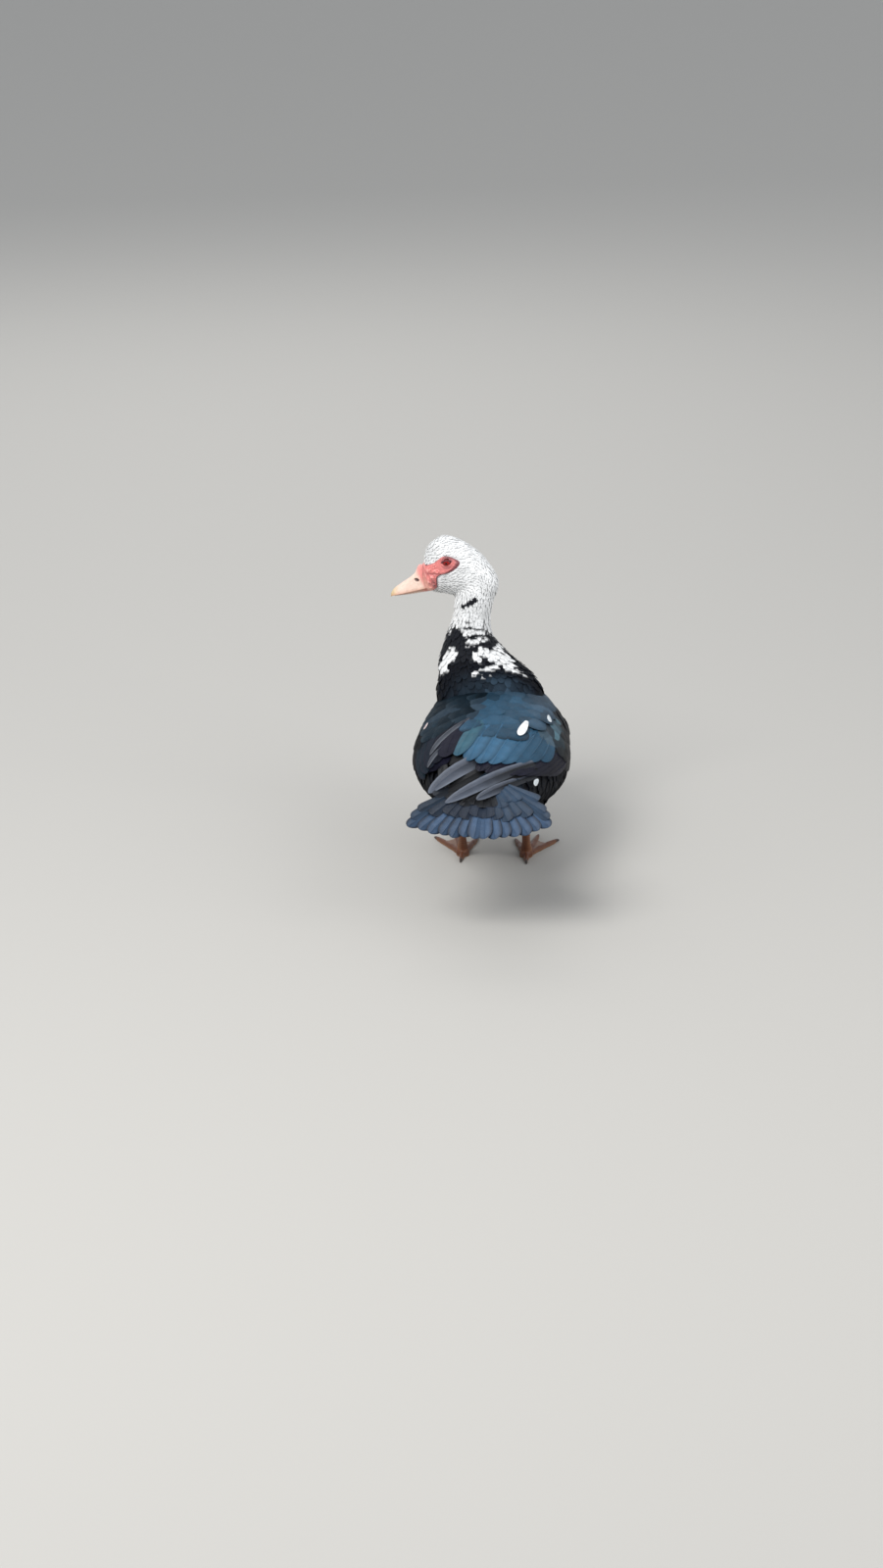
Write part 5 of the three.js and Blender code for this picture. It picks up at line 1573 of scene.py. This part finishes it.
claw_length = 9.0
claw_shares = [0, 0.45, 0.8, 1]
claw_sizes = [[1.9, 1.5, 0.9, 0.25], [3.4, 2.8, 1.7, 0.6], [0.5, 0.6, 0.5, 0.4]]  # half width, height, lift
web_thickness = 2.0
scute_mm = 2.6
leg_brown = paint("#6a3d24")
leg_dark = paint("#36190f")
leg_tan_and_painted_light = paint("#a3744f")
claw_dark = paint("#32261f")
leg_skin = tinted_material("scaled_leg_skin", 0.5, 0.45, 1.1, 0.6)
claw_horn = tinted_material("claw_horn", 0.35, 0.5, 1.5, 0.2)


def toe_ring(angle, reach, wide, high, lift=0.0):
    """Half a round on a flat sole, across a toe at its reach from the foot's middle."""
    way = np.array([math.sin(angle), math.cos(angle), 0.0])
    aside = np.array([way[1], -way[0], 0.0])
    turns = np.linspace(-math.pi / 2, math.pi / 2, 15)[:, None]
    return way * reach + aside * wide * np.sin(turns) + np.array([0, 0, 1.0]) * (lift + high * np.cos(turns))


def toe(angle, reach, rows):
    sizes = np.array([(r * reach if 0 < r <= 1 else r, w, h) for r, w, h in rows])
    stations = np.linspace(sizes[0, 0], reach, 28)
    fine = np.stack([np.interp(stations, sizes[:, 0], sizes[:, k]) for k in (1, 2)], -1)
    return loft([toe_ring(angle, r, w, h) for r, (w, h) in zip(stations, fine)])


def web(first, second):
    (a, reach_a), (b, reach_b) = first, second
    at = lambda angle, reach: np.array([math.sin(angle), math.cos(angle), 0.0]) * reach
    ends = at(a, reach_a * 0.92), at(b, reach_b * 0.92)
    hollow = at((a + b) / 2, min(reach_a, reach_b) * 0.7)
    t = np.linspace(0, 1, 14)[:, None]
    rim = (1 - t) ** 2 * ends[0] + 2 * t * (1 - t) * hollow + t**2 * ends[1]
    low = np.concatenate([[[0, -3, 0.0]], rim])
    high = low + np.array([0, 0, web_thickness])
    n = len(low)
    points = np.concatenate([low, high])
    faces = [tuple(range(n))[::-1], tuple(range(n, 2 * n))]
    faces += [(i, (i + 1) % n, n + (i + 1) % n, n + i) for i in range(n)]
    return points, faces


for side in (-1, 1):
    name = side_name[side]
    heel = np.array([side * foot_spread, foot_y, 0.0])
    c, s = math.cos(-side * foot_turn), math.sin(-side * foot_turn)
    out_turn = np.array([[c, -s, 0], [s, c, 0], [0, 0, 1]])
    stood = lambda part: (np.asarray(part[0]) @ out_turn.T + heel, part[1])
    z = np.linspace(foot_top - 2, hock_top - 0.3, 90)[:, None]
    rows = curve_through(shank_rows, np.maximum(z[:, 0], foot_top))[:, None]
    turns = np.linspace(0, 2 * math.pi, 28, endpoint=False)[None]
    scute = 0.28 * np.abs(np.sin(z * math.pi / scute_mm)) * (0.35 + 0.65 * ease(-0.2, 0.7, np.cos(turns)))
    x = side * foot_spread + (rows[..., 1] + scute) * np.sin(turns)
    y = rows[..., 0] + (rows[..., 2] + scute) * np.cos(turns)
    mesh = make_mesh("shank", [loft(np.stack([x, y, z + 0 * x], -1))])
    local = mesh_points(mesh)
    groove = np.abs(np.sin(local[:, 2] * math.pi / scute_mm))[:, None]
    shade = blend(leg_dark, leg_brown, ease(0.15, 0.6, groove))
    # Painted light: tan on the shank's outer side
    outer = np.clip(side * (local[:, :1] - side * foot_spread) / 6, 0, 1)
    shade = blend(shade, leg_tan_and_painted_light, 0.35 * outer)
    tinted(mesh, shade)
    add_piece(f"shank_skin_{name}", mesh, leg_skin, (f"shank_{name}",))
    angles = {key: (math.radians(side * turn_out), reach) for key, (turn_out, reach) in toes.items()}
    turns = np.linspace(0, 2 * math.pi, 28, endpoint=False)
    circle = np.stack([np.sin(turns), np.cos(turns), 0 * turns], -1)
    parts = [loft([circle * radius + np.array([0, 0, z]) for z, radius in knuckle_rows])]
    parts += [toe(angle, reach, toe_rows) for angle, reach in angles.values()]
    parts.append(toe(math.radians(side * hind_angle), hind_reach, hind_rows))
    parts += [web(angles["inner"], angles["middle"]), web(angles["middle"], angles["outer"])]
    mesh = fused("foot", [stood(part) for part in parts], 0.8, 3)
    local = mesh_points(mesh)
    local[:, 2] = np.clip(local[:, 2], 0.0, foot_top)
    mesh.vertices.foreach_set("co", metres(local).astype(np.float32).ravel())
    mesh.update()
    from_heel = np.hypot(local[:, 0] - heel[0], local[:, 1] - heel[1])
    groove = np.abs(np.sin(from_heel * math.pi / scute_mm))[:, None] * ease(2.2, 3.4, local[:, 2:3])
    shade = blend(leg_dark, leg_brown, 0.5 + 0.5 * groove)
    shade = blend(shade, leg_tan_and_painted_light, 0.4 * (1 - ease(1.8, 3.0, local[:, 2:3])))
    tinted(mesh, shade)
    add_piece(f"foot_skin_{name}", mesh, leg_skin, (f"foot_{name}",))
    ends = {**angles, "hind": (math.radians(side * hind_angle), hind_reach)}
    for key, (angle, reach) in ends.items():
        t = np.linspace(0, 1, 16)
        reaches = reach + claw_start + (claw_length - claw_start) * t
        sizes = [np.interp(t, claw_shares, size) for size in claw_sizes]
        rings = [toe_ring(angle, *ring) for ring in zip(reaches, *sizes)]
        mesh = make_mesh("claw", [stood(loft(rings))])
        local = mesh_points(mesh)
        far = np.hypot(local[:, 0] - heel[0], local[:, 1] - heel[1])[:, None]
        tinted(mesh, blend(claw_dark, leg_brown, 0.6 * (1 - ease(reach, reach + 5, far))))
        add_piece(f"claw_horn_{key}_{name}", mesh, claw_horn, (f"claw_{key}_{name}",))

bpy.context.view_layer.update()
